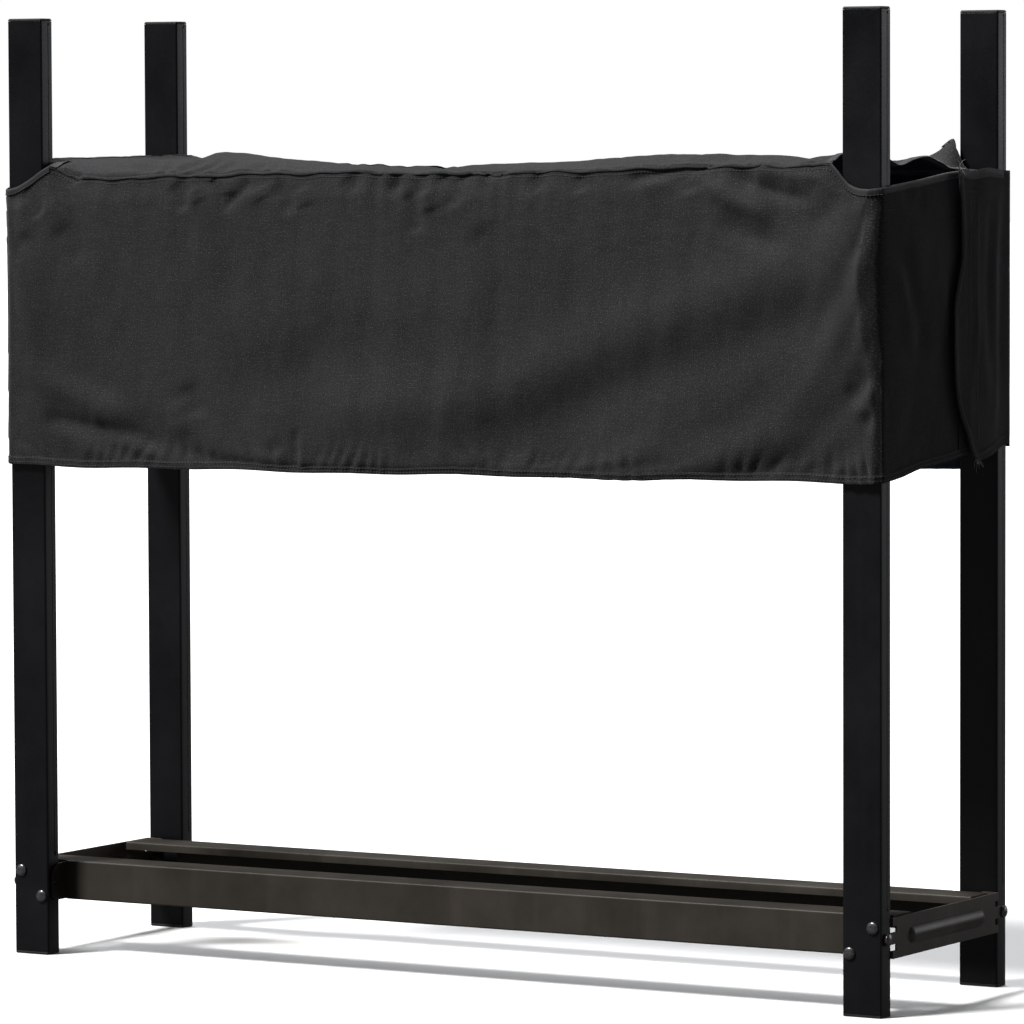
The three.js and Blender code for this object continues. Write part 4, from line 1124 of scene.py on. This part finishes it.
def stitches(name, paths, body, pitch=0.0042, length=0.0031, r=0.00034, lift=0.00022, mat=None, bvh=None, side=1, drop=0.0):
    """Thread along paths on the cloth: one short rounded stitch after another."""
    V, F = [], []
    rnd = np.random.default_rng(5)
    for path in paths:
        pts = resample(path, pitch)
        for a, b in zip(pts, pts[1:]):
            if drop and rnd.random() < drop:
                continue
            mid = (a + b) / 2
            loc, nor = snap(mid, bvh)
            nor = nor * side
            d = (b - a)
            d = (d - nor * d.dot(nor)).normalized()
            w = nor.cross(d)
            base = len(V)
            for s, k in ((-0.5, 0.25), (-0.3, 0.95), (0.3, 0.95), (0.5, 0.25)):
                c = loc + d * (s * length) + nor * (lift * (1.0 if abs(s) < 0.4 else -0.3))
                for q in range(6):
                    t = q * math.pi / 3
                    V.append(c + w * (r * k * 1.25 * math.cos(t)) + nor * (r * k * math.sin(t)))
            for ring in range(3):
                for q in range(6):
                    a0 = base + ring * 6 + q; a1 = base + ring * 6 + (q + 1) % 6
                    F.append((a0, a1, a1 + 6, a0 + 6))
            F.append(tuple(base + q for q in range(6))[::-1])
            F.append(tuple(base + 18 + q for q in range(6)))
    me = mesh_from(name, V, F)
    o = link(name, me, mat or M_THREAD)
    return o


def tape(name, rows, mat, thick=0.0007, closed=True):
    """A thin band through rows of points (each row runs across the band); given thickness, both faces and rims closed."""
    rows = [[Vector(p) for p in r] for r in rows]
    n, k = len(rows), len(rows[0])
    V, F, C = [], [], []
    nor = []
    for i in range(n):
        line = []
        for j in range(k):
            a = rows[min(n - 1, i + 1)][j] - rows[max(0, i - 1)][j]
            b = rows[i][min(k - 1, j + 1)] - rows[i][max(0, j - 1)]
            line.append(a.cross(b).normalized())
        nor.append(line)
    s = 0.0
    lens = [0.0]
    for i in range(1, n):
        s += (rows[i][k // 2] - rows[i - 1][k // 2]).length
        lens.append(s)
    for sgn in (1, -1):
        for i in range(n):
            w = 0.0
            for j in range(k):
                if j:
                    w += (rows[i][j] - rows[i][j - 1]).length
                V.append(rows[i][j] + nor[i][j] * (thick / 2 * sgn))
                C.append((lens[i], w, 0))
    N = n * k
    for i in range(n - 1):
        for j in range(k - 1):
            a = i * k + j
            F.append((a, a + k, a + k + 1, a + 1))
            F.append((N + a, N + a + 1, N + a + k + 1, N + a + k))
    for i in range(n - 1):
        a = i * k
        F.append((a, N + a, N + a + k, a + k))
        b = i * k + k - 1
        F.append((b, b + k, N + b + k, N + b))
    for j in range(k - 1):
        a = j
        F.append((a, a + 1, N + a + 1, N + a))
        b = (n - 1) * k + j
        F.append((b, N + b, N + b + 1, b + 1))
    me = mesh_from(name, V, F)
    bm = bmesh.new(); bm.from_mesh(me); bmesh.ops.recalc_face_normals(bm, faces=bm.faces); bm.to_mesh(me); bm.free()
    put_cut(me, C)
    me.set_sharp_from_angle(angle=math.radians(60))
    return link(name, me, mat)


CLOTH_T = 0.0009


def surf(key, u, v, out):
    """A point on the finished cloth under grid indices (u, v), lifted by out along its outer side."""
    loc, nor = snap(grid_point(key, u, v))
    return loc + nor * out


def cols(key):
    return NX if key in ("f", "b") else len(ES)


def metres_to_rows(key, i, d, from_top=False):
    """d metres up from the hem (or down from the top edge) as a fractional row index at column i."""
    i0 = int(min(max(0, round(i)), cols(key) - 1))
    a, b = SIM[CIDX[(key, i0, 0)]], SIM[CIDX[(key, i0, NZ - 1)]]
    h = b[2] - a[2]
    t = 1 - d / h if from_top else d / h
    return float(np.interp(t, TT, np.arange(NZ)))


def wall_path(key, i0, i1, d, from_top=False, step=0.5, out=0.0):
    pts = []
    n = int(abs(i1 - i0) / step)
    for s in range(n + 1):
        i = i0 + (i1 - i0) * s / n
        pts.append(surf(key, i, metres_to_rows(key, i, d, from_top), out))
    return pts


extras = []
nE = len(ES) - 1


def chain(d, from_top=False):
    """A line round left end, front and right end, at one distance from the edge."""
    L = wall_path("l", nE - 0.02, 0.3, d, from_top)
    Fp = wall_path("f", 0.2, NX - 1.2, d, from_top)
    R = wall_path("r", 0.3, nE - 0.02, d, from_top)
    return L + Fp + R


def band_rows(path_lists):
    return [list(r) for r in zip(*path_lists)]


# hems: a turned-up band with its raised inner edge and two rows of stitches
def hem_band(name, build):
    ds = (0.0005, 0.0030, 0.0062, 0.0092, 0.0104)
    lifts = (0.00045, 0.0008, 0.00065, 0.00070, 0.0001)
    lists = [[p for p in build(d)] for d in ds]
    rows = []
    for i in range(min(map(len, lists))):
        row = []
        for L, lf in zip(lists, lifts):
            loc, nor = snap(L[i])
            row.append(loc + nor * lf)
        rows.append(row)
    return tape(name, rows, M_CLOTH, 0.0008)


hem_front_o = hem_band("hem_band_front", lambda d: chain(d))
hem_back_o = hem_band("hem_band_back", lambda d: wall_path("b", 0.4, NX - 1.4, d))
extras += [hem_front_o, hem_back_o]

st = [chain(0.0032), chain(0.0082), wall_path("b", 0.5, NX - 1.5, 0.0032), wall_path("b", 0.5, NX - 1.5, 0.0082)]
extras.append(stitches("hem_stitching", st, "cover", lift=0.0013))

# sewn seams along the top's front and back edges: a rolled ridge and a row of stitches below it
def seam_ridge(name, key):
    path = [surf(key, iN0 + (iN1 - iN0) * s / 320, NZ - 1, 0.0) for s in range(321)]
    rows = []
    sgn = -1 if key == "f" else 1
    n = len(path)
    for i, p in enumerate(path):
        t = (path[min(n - 1, i + 1)] - path[max(0, i - 1)]).normalized()
        wv = 0.5 * math.sin(p.x * 61.0) + 0.5 * math.sin(p.x * 137.0 + 1.0)
        out = Vector((0, sgn * (0.78 + 0.20 * wv), 0.62 - 0.18 * wv))
        out = (out - t * out.dot(t)).normalized()
        side = t.cross(out)
        k = min(1.0, i / 5, (n - 1 - i) / 5)
        row = []
        for a in range(9):
            th = math.pi * (a / 8)
            row.append(p + side * ((0.0021 + 0.0004 * wv) * math.cos(th)) + out * ((0.00125 * math.sin(th)) * (0.4 + 0.6 * k) * (0.85 + 0.35 * wv) - 0.0002))
        rows.append(row)
    return tape(name, rows, M_CLOTH, 0.0006)


extras += [seam_ridge("seam_ridge_front", "f"), seam_ridge("seam_ridge_back", "b")]
st = [wall_path("f", iN0 + 0.3, iN1 - 0.3, 0.0062, True), wall_path("b", iN0 + 0.3, iN1 - 0.3, 0.0062, True)]
extras.append(stitches("seam_stitching", st, "cover", lift=0.0004))


# bindings: tape folded over every opening's edge
def folded(name, edge, inner, width=0.0064, t=0.0009):
    """edge: points along the free edge; inner: for each, a point just inside on the cloth."""
    rows = []
    n = len(edge)
    for i, (e, q) in enumerate(zip(edge, inner)):
        loc, nor = snap(q)
        d = (q - e)
        d = (d - nor * d.dot(nor)).normalized()
        rows.append([e + d * width + nor * (t * 0.8), e + d * (width * 0.55) + nor * t, e + d * 0.0012 + nor * t,
                     e - d * 0.0007 + nor * (t * 0.75), e - d * 0.0013, e - d * 0.0007 - nor * (t * 0.75),
                     e + d * 0.0012 - nor * (t * 1.1), e + d * (width * 0.55) - nor * (t * 1.1), e + d * width - nor * (t * 0.9)])
    return tape(name, rows, M_TAPE, 0.0007)


def edge_top(key, i0, i1, step=0.25):
    E, I = [], []
    n = max(2, int(abs(i1 - i0) / step))
    for s in range(n + 1):
        i = i0 + (i1 - i0) * s / n
        E.append(surf(key, i, NZ - 1, 0.0)); I.append(surf(key, i, NZ - 1.7, 0.0))
    return E, I


def top_edge(pts, inner):
    E, I = [], []
    for (u, v), (a, b) in zip(pts, inner):
        E.append(surf("t", u, v, 0.0)); I.append(surf("t", a, b, 0.0))
    return E, I


def lerp_list(a, b, n):
    return [(a[0] + (b[0] - a[0]) * i / n, a[1] + (b[1] - a[1]) * i / n) for i in range(n + 1)]


bind_stitch = []
for side, key in ((1, "r"), (-1, "l")):
    nm = "right" if side > 0 else "left"
    # round the front corner: from the notch, down the scoop, round the fold, along the end panel
    if side > 0:
        E1, I1 = edge_top("f", iN1, NX - 1.05)
        E2, I2 = edge_top("r", 0.05, nE)
    else:
        E1, I1 = edge_top("f", iN0, 0.05)
        E2, I2 = edge_top("l", 0.05, nE)
    E, I = E1 + E2, I1 + I2
    extras.append(folded(f"binding_front_{nm}", E, I))
    bind_stitch.append([e.lerp(q, 0.0062 / max(1e-4, (q - e).length)) for e, q in zip(E, I)])
    E1, I1 = edge_top("b", iN1 if side > 0 else iN0, NX - 1.05 if side > 0 else 0.05)
    extras.append(folded(f"binding_back_{nm}", E1, I1))
    bind_stitch.append([e.lerp(q, 0.0062 / max(1e-4, (q - e).length)) for e, q in zip(E1, I1)])
    # the top panel's own free edge: notch, end, notch
    iN, iT = (iN1, iT1) if side > 0 else (iN0, iT0)
    s = 1 if side > 0 else -1
    outer = lerp_list((iN, 0), (iN, jN0), 12) + lerp_list((iN, jN0), (iT, jN0), 14)[1:] + lerp_list((iT, jN0), (iT, jN1), 90)[1:] \
        + lerp_list((iT, jN1), (iN, jN1), 14)[1:] + lerp_list((iN, jN1), (iN, NY - 1), 12)[1:]
    inner = [(iN - s * 0.7, v) for _, v in lerp_list((iN, 0), (iN, jN0), 12)] \
        + [(u, jN0 + 0.7) for u, _ in lerp_list((iN - s * 0.7, jN0), (iT - s * 0.7, jN0), 14)[1:]] \
        + [(iT - s * 0.7, min(max(v, jN0 + 0.7), jN1 - 0.7)) for _, v in lerp_list((iT, jN0), (iT, jN1), 90)[1:]] \
        + [(u, jN1 - 0.7) for u, _ in lerp_list((iT - s * 0.7, jN1), (iN - s * 0.7, jN1), 14)[1:]] \
        + [(iN - s * 0.7, v) for _, v in lerp_list((iN, jN1), (iN, NY - 1), 12)[1:]]
    E, I = top_edge(outer, inner)
    extras.append(folded(f"binding_top_{nm}", E, I, 0.0080))
    # the end panel's rear edge
    E, I = [], []
    for j in range(0, 4 * (NZ - 1) + 1):
        v = j / 4
        E.append(surf(key, nE, v, 0.0)); I.append(surf(key, nE - 0.8, v, 0.0))
    extras.append(folded(f"binding_end_{nm}", E, I, 0.0070, 0.0009))
extras.append(stitches("binding_stitching", bind_stitch, "cover", lift=0.0017))

# loop tape on the end panels, under the flaps
for side, key in ((1, "r"), (-1, "l")):
    nm = "right" if side > 0 else "left"
    rows = []
    for a in range(0, 79):
        z = 0.652 + (0.962 - 0.652) * a / 78
        row = []
        for b in range(9):
            y = 0.028 + 0.038 * b / 8
            loc, nor = snap(Vector((side * 0.613, y, z)))
            row.append(loc + Vector((side * 0.00095, 0, 0)))
        rows.append(row)
    extras.append(tape(f"loop_tape_{nm}", rows, M_LOOP, 0.0009))

# the shell's own thickness, coated side inward
sol = cover.modifiers.new("sol", "SOLIDIFY")
sol.thickness = CLOTH_T
sol.offset = -1.0
sol.use_rim = True
sol.material_offset = 1
sol.material_offset_rim = 0
sol.use_even_offset = False
bake(cover)

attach(cover, "cover")
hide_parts("cover_front_panel", "cover_back_panel", "cover_top_panel", "cover_end_panel_left", "cover_end_panel_right")
for o in extras:
    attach(o, "cover")
for o in extras:
    if o.name == "binding_front_right":
        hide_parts(*[n for n in NODES if n.startswith("opening_tape_") and n.endswith("_right") and "_back_" not in n])
    if o.name == "binding_front_left":
        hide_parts(*[n for n in NODES if n.startswith("opening_tape_") and n.endswith("_left") and "_back_" not in n])
    if o.name == "binding_back_right":
        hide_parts(*[n for n in NODES if n.startswith("opening_tape_back") and n.endswith("_right")])
    if o.name == "binding_back_left":
        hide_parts(*[n for n in NODES if n.startswith("opening_tape_back") and n.endswith("_left")])
    if o.name == "loop_tape_right":
        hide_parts(*[n for n in NODES if n.startswith("loop_strip") and "right" in n])
    if o.name == "loop_tape_left":
        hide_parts(*[n for n in NODES if n.startswith("loop_strip") and "left" in n])


# ------------------------------------------------------------------ rear flaps
LEFT_EDGE = [(0.630, 0.064), (0.640, 0.060), (0.655, 0.046), (0.675, 0.035), (0.711, 0.013), (0.747, 0.002), (0.782, -0.002),
             (0.817, 0.001), (0.852, 0.0136), (0.881, 0.0235), (0.910, 0.0215), (0.9456, 0.0165), (0.975, 0.0125), (0.99, 0.012)]


def make_flap(side):
    nm = "right" if side > 0 else "left"
    NS, NR = 44, 84
    V, C, F = [], [], []
    # distance along the strip: from the back panel, round the post's corner, to the free edge
    for j in range(NR + 1):
        v = j / NR
        for i in range(NS + 1):
            u = i / NS
            # height of this row: lower edge slopes up to the back, upper edge nearly level
            zb0 = 0.6365
            yl = float(curve(np.array(0.64 + 0.34 * v), LEFT_EDGE))
            wrap = 0.0135            # on the back panel
            run = 0.1675 - yl        # on the end
            s = -wrap + (wrap + run) * (u ** 0.92)
            if s < 0:
                y, x = 0.1697, 0.6118 + s * 1.0
            else:
                y, x = 0.1675 - s, 0.6125
            # round the corner
            rr = 0.0040
            if abs(s) < rr:
                a = (s + rr) / (2 * rr) * math.pi / 2
                x = 0.6118 - rr + rr * math.sin(a) + 0.0009
                y = 0.1697 - rr + rr * math.cos(a)
            yy = max(0.0, 0.1675 - y)
            bulge = 0.0008 + 0.0066 * float(sstep(np.array(yy), 0.008, 0.095))
            bott = float(curve(np.array(min(y, 0.1697)), [(0.03, 0.634), (0.072, 0.6365), (0.1127, 0.6425), (0.1424, 0.6500), (0.1697, 0.6540)]))
            topz = float(curve(np.array(min(y, 0.1697)), [(-0.01, 0.9825), (0.0125, 0.9830), (0.055, 0.9800), (0.0985, 0.9828), (0.147, 0.9797), (0.1697, 0.9790)]))
            z = bott + (topz - bott) * v
            if s >= 0:
                wy, wz = np.array(y), np.array(z)
                fold = 0.0028 * float(ridge(wy, wz, [(0.135, 0.97), (0.118, 0.86), (0.126, 0.74), (0.112, 0.65)], 0.010, 1.0, 0.2))
                fold -= 0.0022 * float(ridge(wy, wz, [(0.105, 0.96), (0.096, 0.85), (0.102, 0.72)], 0.010, 1.0, 0.25))
                fold += 0.0020 * float(ridge(wy, wz, [(0.075, 0.97), (0.060, 0.90), (0.066, 0.80), (0.052, 0.70)], 0.009, 1.0, 0.25))
                fold += 0.0014 * float(waves(wy, wz, 0.07, 91 + (side > 0), aniso=(1.0, 0.45)))
                fold *= 0.62 * float(sstep(np.array(yy), 0.004, 0.030))
                # the free edge stands off the end panel a little
                lift = 0.0022 * float(np.exp(-((y - yl) / 0.012) ** 2)) * (0.5 + 0.5 * math.sin(z * 34.0))
                x = x + bulge + max(fold, -0.0012) + lift
                if y < 0.075:
                    x = max(x, 0.6184)
            V.append((side * x, y, z))
            C.append((4.0 + side + s, z, 0))
    k = NS + 1
    for j in range(NR):
        for i in range(NS):
            a = j * k + i
            q = (a, a + k, a + k + 1, a + 1)
            F.append(q if side > 0 else q[::-1])
    me = mesh_from(f"flap_cloth_{nm}", V, F)
    put_cut(me, C)
    o = link(f"flap_cloth_{nm}", me, M_CLOTH, M_INNER)
    # make sure the outer side faces out
    mid = me.polygons[len(me.polygons) // 2]
    if mid.normal.x * side < 0:
        me.flip_normals()
    return o, np.array(V).reshape(NR + 1, NS + 1, 3)


def flap_surf(G, bvh, side, y, z, out):
    hit = bvh.ray_cast(Vector((side * 0.70, y, z)), Vector((-side, 0, 0)))
    if hit[0] is None:
        return None
    n = hit[1] if hit[1].x * side > 0 else -hit[1]
    return hit[0] + n * out


for side in (1, -1):
    nm = "right" if side > 0 else "left"
    o, G = make_flap(side)
    bv = bvh_of(o.data)
    NR, NS = G.shape[0] - 1, G.shape[1] - 1
    # free edge (turned and stitched), lower and upper edges
    rows_edge = []
    for j in range(NR + 1):
        row = []
        for w, lf in ((0.0005, 0.0004), (0.004, 0.0008), (0.009, 0.0008), (0.0105, 0.0001)):
            e = Vector(G[j, NS]); q = Vector(G[j, NS - 4])
            d = (q - e).normalized()
            p = e + d * w
            loc, nor = snap(p, bv)
            row.append(loc + nor * lf)
        rows_edge.append(row)
    edge_o = tape(f"flap_hem_{nm}", rows_edge, M_CLOTH, 0.0008)
    rows_low = []
    for i in range(8, NS + 1):
        row = []
        for w, lf in ((0.0005, 0.0004), (0.005, 0.0008), (0.0115, 0.0007), (0.0132, 0.0001)):
            e = Vector(G[0, i]); q = Vector(G[4, i])
            d = (q - e).normalized()
            loc, nor = snap(e + d * w, bv)
            row.append(loc + nor * lf)
        rows_low.append(row)
    low_o = tape(f"flap_lower_hem_{nm}", rows_low, M_CLOTH, 0.0008)
    rows_up = []
    for i in range(8, NS + 1):
        row = []
        for w, lf in ((0.0005, 0.0004), (0.004, 0.0008), (0.009, 0.0008), (0.0105, 0.0001)):
            e = Vector(G[NR, i]); q = Vector(G[NR - 4, i])
            d = (q - e).normalized()
            loc, nor = snap(e + d * w, bv)
            row.append(loc + nor * lf)
        rows_up.append(row)
    up_o = tape(f"flap_upper_hem_{nm}", rows_up, M_TAPE, 0.0008)
    sp = [[Vector(G[j, NS]) + (Vector(G[j, NS - 4]) - Vector(G[j, NS])).normalized() * 0.0072 for j in range(2, NR - 1)],
          [Vector(G[0, i]) + (Vector(G[4, i]) - Vector(G[0, i])).normalized() * 0.0095 for i in range(9, NS)],
          [Vector(G[NR, i]) + (Vector(G[NR - 4, i]) - Vector(G[NR, i])).normalized() * 0.0072 for i in range(9, NS)]]
    # the hook tape's stitching shows on the outside as a tall box
    box_ = []
    for (y0, z0), (y1, z1) in (((0.044, 0.660), (0.044, 0.955)), ((0.0655, 0.660), (0.0655, 0.955)), ((0.044, 0.660), (0.0655, 0.660)), ((0.044, 0.955), (0.0655, 0.955))):
        box_.append([flap_surf(G, bv, side, y0 + (y1 - y0) * t / 40, z0 + (z1 - z0) * t / 40, 0.0) for t in range(41)])
    box_ = [b for b in box_ if all(p is not None for p in b)]
    st1 = stitches(f"flap_stitching_{nm}", sp, "flap", bvh=bv, lift=0.0013)
    st2 = stitches(f"hook_stitching_{nm}", box_, "flap", bvh=bv, lift=0.0003)
    # hook tape on the inside
    rows = []
    for a in range(0, 75):
        z = 0.658 + (0.956 - 0.658) * a / 74
        row = []
        for b in range(7):
            y = 0.043 + 0.022 * b / 6
            row.append(Vector((side * 0.61625, y, z)))
        rows.append(row)
    hook = tape(f"hook_tape_{nm}", rows, M_HOOK, 0.0009)
    # frayed ends at the lower and upper corners
    V, F = [], []
    rnd = np.random.default_rng(17 + side)
    roots = [Vector(G[0, NS]), Vector(G[1, NS]), Vector(G[0, NS - 2]), Vector(G[0, NS - 4]), Vector(G[NR, NS]), Vector(G[NR - 1, NS])]
    for c in range(16):
        rt = roots[rnd.integers(0, 4) if c < 11 else rnd.integers(4, 6)]
        p = rt + Vector((side * 0.0004, rnd.uniform(-0.001, 0.003), rnd.uniform(-0.0005, 0.0005)))
        d = Vector((side * rnd.uniform(-0.1, 0.5), rnd.uniform(-0.8, 0.3), rnd.uniform(-1.0, 0.3) if c < 11 else rnd.uniform(-0.2, 0.8))).normalized()
        pts = [p]
        L = rnd.uniform(0.005, 0.014)
        for s in range(5):
            d = (d + Vector((side * rnd.uniform(-0.25, 0.25), rnd.uniform(-0.5, 0.5), rnd.uniform(-0.6, 0.3)))).normalized()
            pts.append(pts[-1] + d * (L / 5))
        base = len(V)
        for i, q in enumerate(pts):
            r = 0.00024 * (1 - 0.5 * i / 5)
            t = (pts[min(5, i + 1)] - pts[max(0, i - 1)]).normalized()
            u_ = t.cross(Vector((0.3, 0.9, 0.2))).normalized(); w_ = t.cross(u_)
            for a in range(5):
                V.append(q + u_ * (r * math.cos(a * 2 * math.pi / 5)) + w_ * (r * math.sin(a * 2 * math.pi / 5)))
        for i in range(5):
            for a in range(5):
                x0 = base + i * 5 + a; x1 = base + i * 5 + (a + 1) % 5
                F.append((x0, x1, x1 + 5, x0 + 5))
        F.append(tuple(base + a for a in range(5))[::-1]); F.append(tuple(base + 25 + a for a in range(5)))
    fray = link(f"frayed_threads_{nm}", mesh_from(f"frayed_threads_{nm}", V, F), M_FRAY)

    so = o.modifiers.new("sol", "SOLIDIFY")
    so.thickness = CLOTH_T
    so.offset = -1.0
    so.use_rim = True
    so.material_offset = 1
    so.material_offset_rim = 0
    bake(o)
    body = f"flap_{nm}"
    for p in (o, low_o, up_o, st1):
        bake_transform(p)
    for p in (edge_o, st2, hook, fray):
        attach(p, body)
    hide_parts(f"cover_flap_{nm}")
    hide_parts(*[n for n in NODES if n.startswith("hook_strip") and nm in n])

# ------------------------------------------------------------------ floor, world, lights
R_FLOOR = 60.0
ringN = 96
V = [(0, 0, 0)] + [(R_FLOOR * math.cos(2 * math.pi * i / ringN), R_FLOOR * math.sin(2 * math.pi * i / ringN), 0) for i in range(ringN)]
F = [(0, i + 1, (i + 1) % ringN + 1) for i in range(ringN)]
kf = Mat("floor_pale", Roughness=0.85)
kf.b.inputs["Specular IOR Level"].default_value = 0.1
kf.b.inputs["Base Color"].default_value = rgb(0.93, 0.93, 0.93)
ray = kf.t.nodes.new("ShaderNodeLightPath")
kf.to("Base Color", kf.mix(ray.outputs["Is Camera Ray"], rgb(0.07, 0.07, 0.07), rgb(0.93, 0.93, 0.93)))
floor = link("floor", mesh_from("floor", V, F, False), kf.m)

world = bpy.data.worlds.new("studio")
SC.world = world
world.use_nodes = True
wt = world.node_tree
wt.nodes.clear()
wo = wt.nodes.new("ShaderNodeOutputWorld")
bg = wt.nodes.new("ShaderNodeBackground")
bc = wt.nodes.new("ShaderNodeBackground")
bc.inputs[0].default_value = rgb(1.0, 1.0, 1.0)
bc.inputs[1].default_value = 1.0
# a soft room: dim all round, brighter in a patch low behind the rack's right-hand end
tc = wt.nodes.new("ShaderNodeTexCoord")
dt = wt.nodes.new("ShaderNodeVectorMath")
dt.operation = "DOT_PRODUCT"
dt.inputs[1].default_value = Vector((0.50, 0.84, 0.14)).normalized()
wt.links.new(tc.outputs["Generated"], dt.inputs[0])
mr = wt.nodes.new("ShaderNodeMapRange")
mr.interpolation_type = "SMOOTHSTEP"
mr.inputs[1].default_value, mr.inputs[2].default_value = 0.925, 1.0
mr.inputs[3].default_value, mr.inputs[4].default_value = 0.036, 1.40
wt.links.new(dt.outputs["Value"], mr.inputs[0])
bg.inputs[0].default_value = rgb(0.93, 0.96, 1.0)
wt.links.new(mr.outputs[0], bg.inputs[1])
lp = wt.nodes.new("ShaderNodeLightPath")
mx = wt.nodes.new("ShaderNodeMixShader")
wt.links.new(lp.outputs["Is Camera Ray"], mx.inputs[0])
wt.links.new(bg.outputs[0], mx.inputs[1])
wt.links.new(bc.outputs[0], mx.inputs[2])
wt.links.new(mx.outputs[0], wo.inputs[0])


def sun(name, frm, strength, angle, colour=(1, 1, 1)):
    l = bpy.data.lights.new(name, "SUN")
    l.energy = strength
    l.angle = math.radians(angle)
    l.color = colour
    o = bpy.data.objects.new(name, l)
    COL.objects.link(o)
    o.rotation_euler = (-Vector(frm)).to_track_quat("-Z", "Y").to_euler()
    o.location = Vector(frm) * 3
    return o


sun("key", (-0.36, -0.50, 0.79), 4.9, 13, (1.0, 0.992, 0.975))
sun("fill", (-0.60, -0.50, 0.60), 0.22, 50, (0.96, 0.98, 1.0))
sun("back_top", (-0.20, 0.34, 0.92), 2.2, 30, (0.97, 0.985, 1.0))
SC.view_settings.view_transform = "Standard"
SC.view_settings.look = "None"
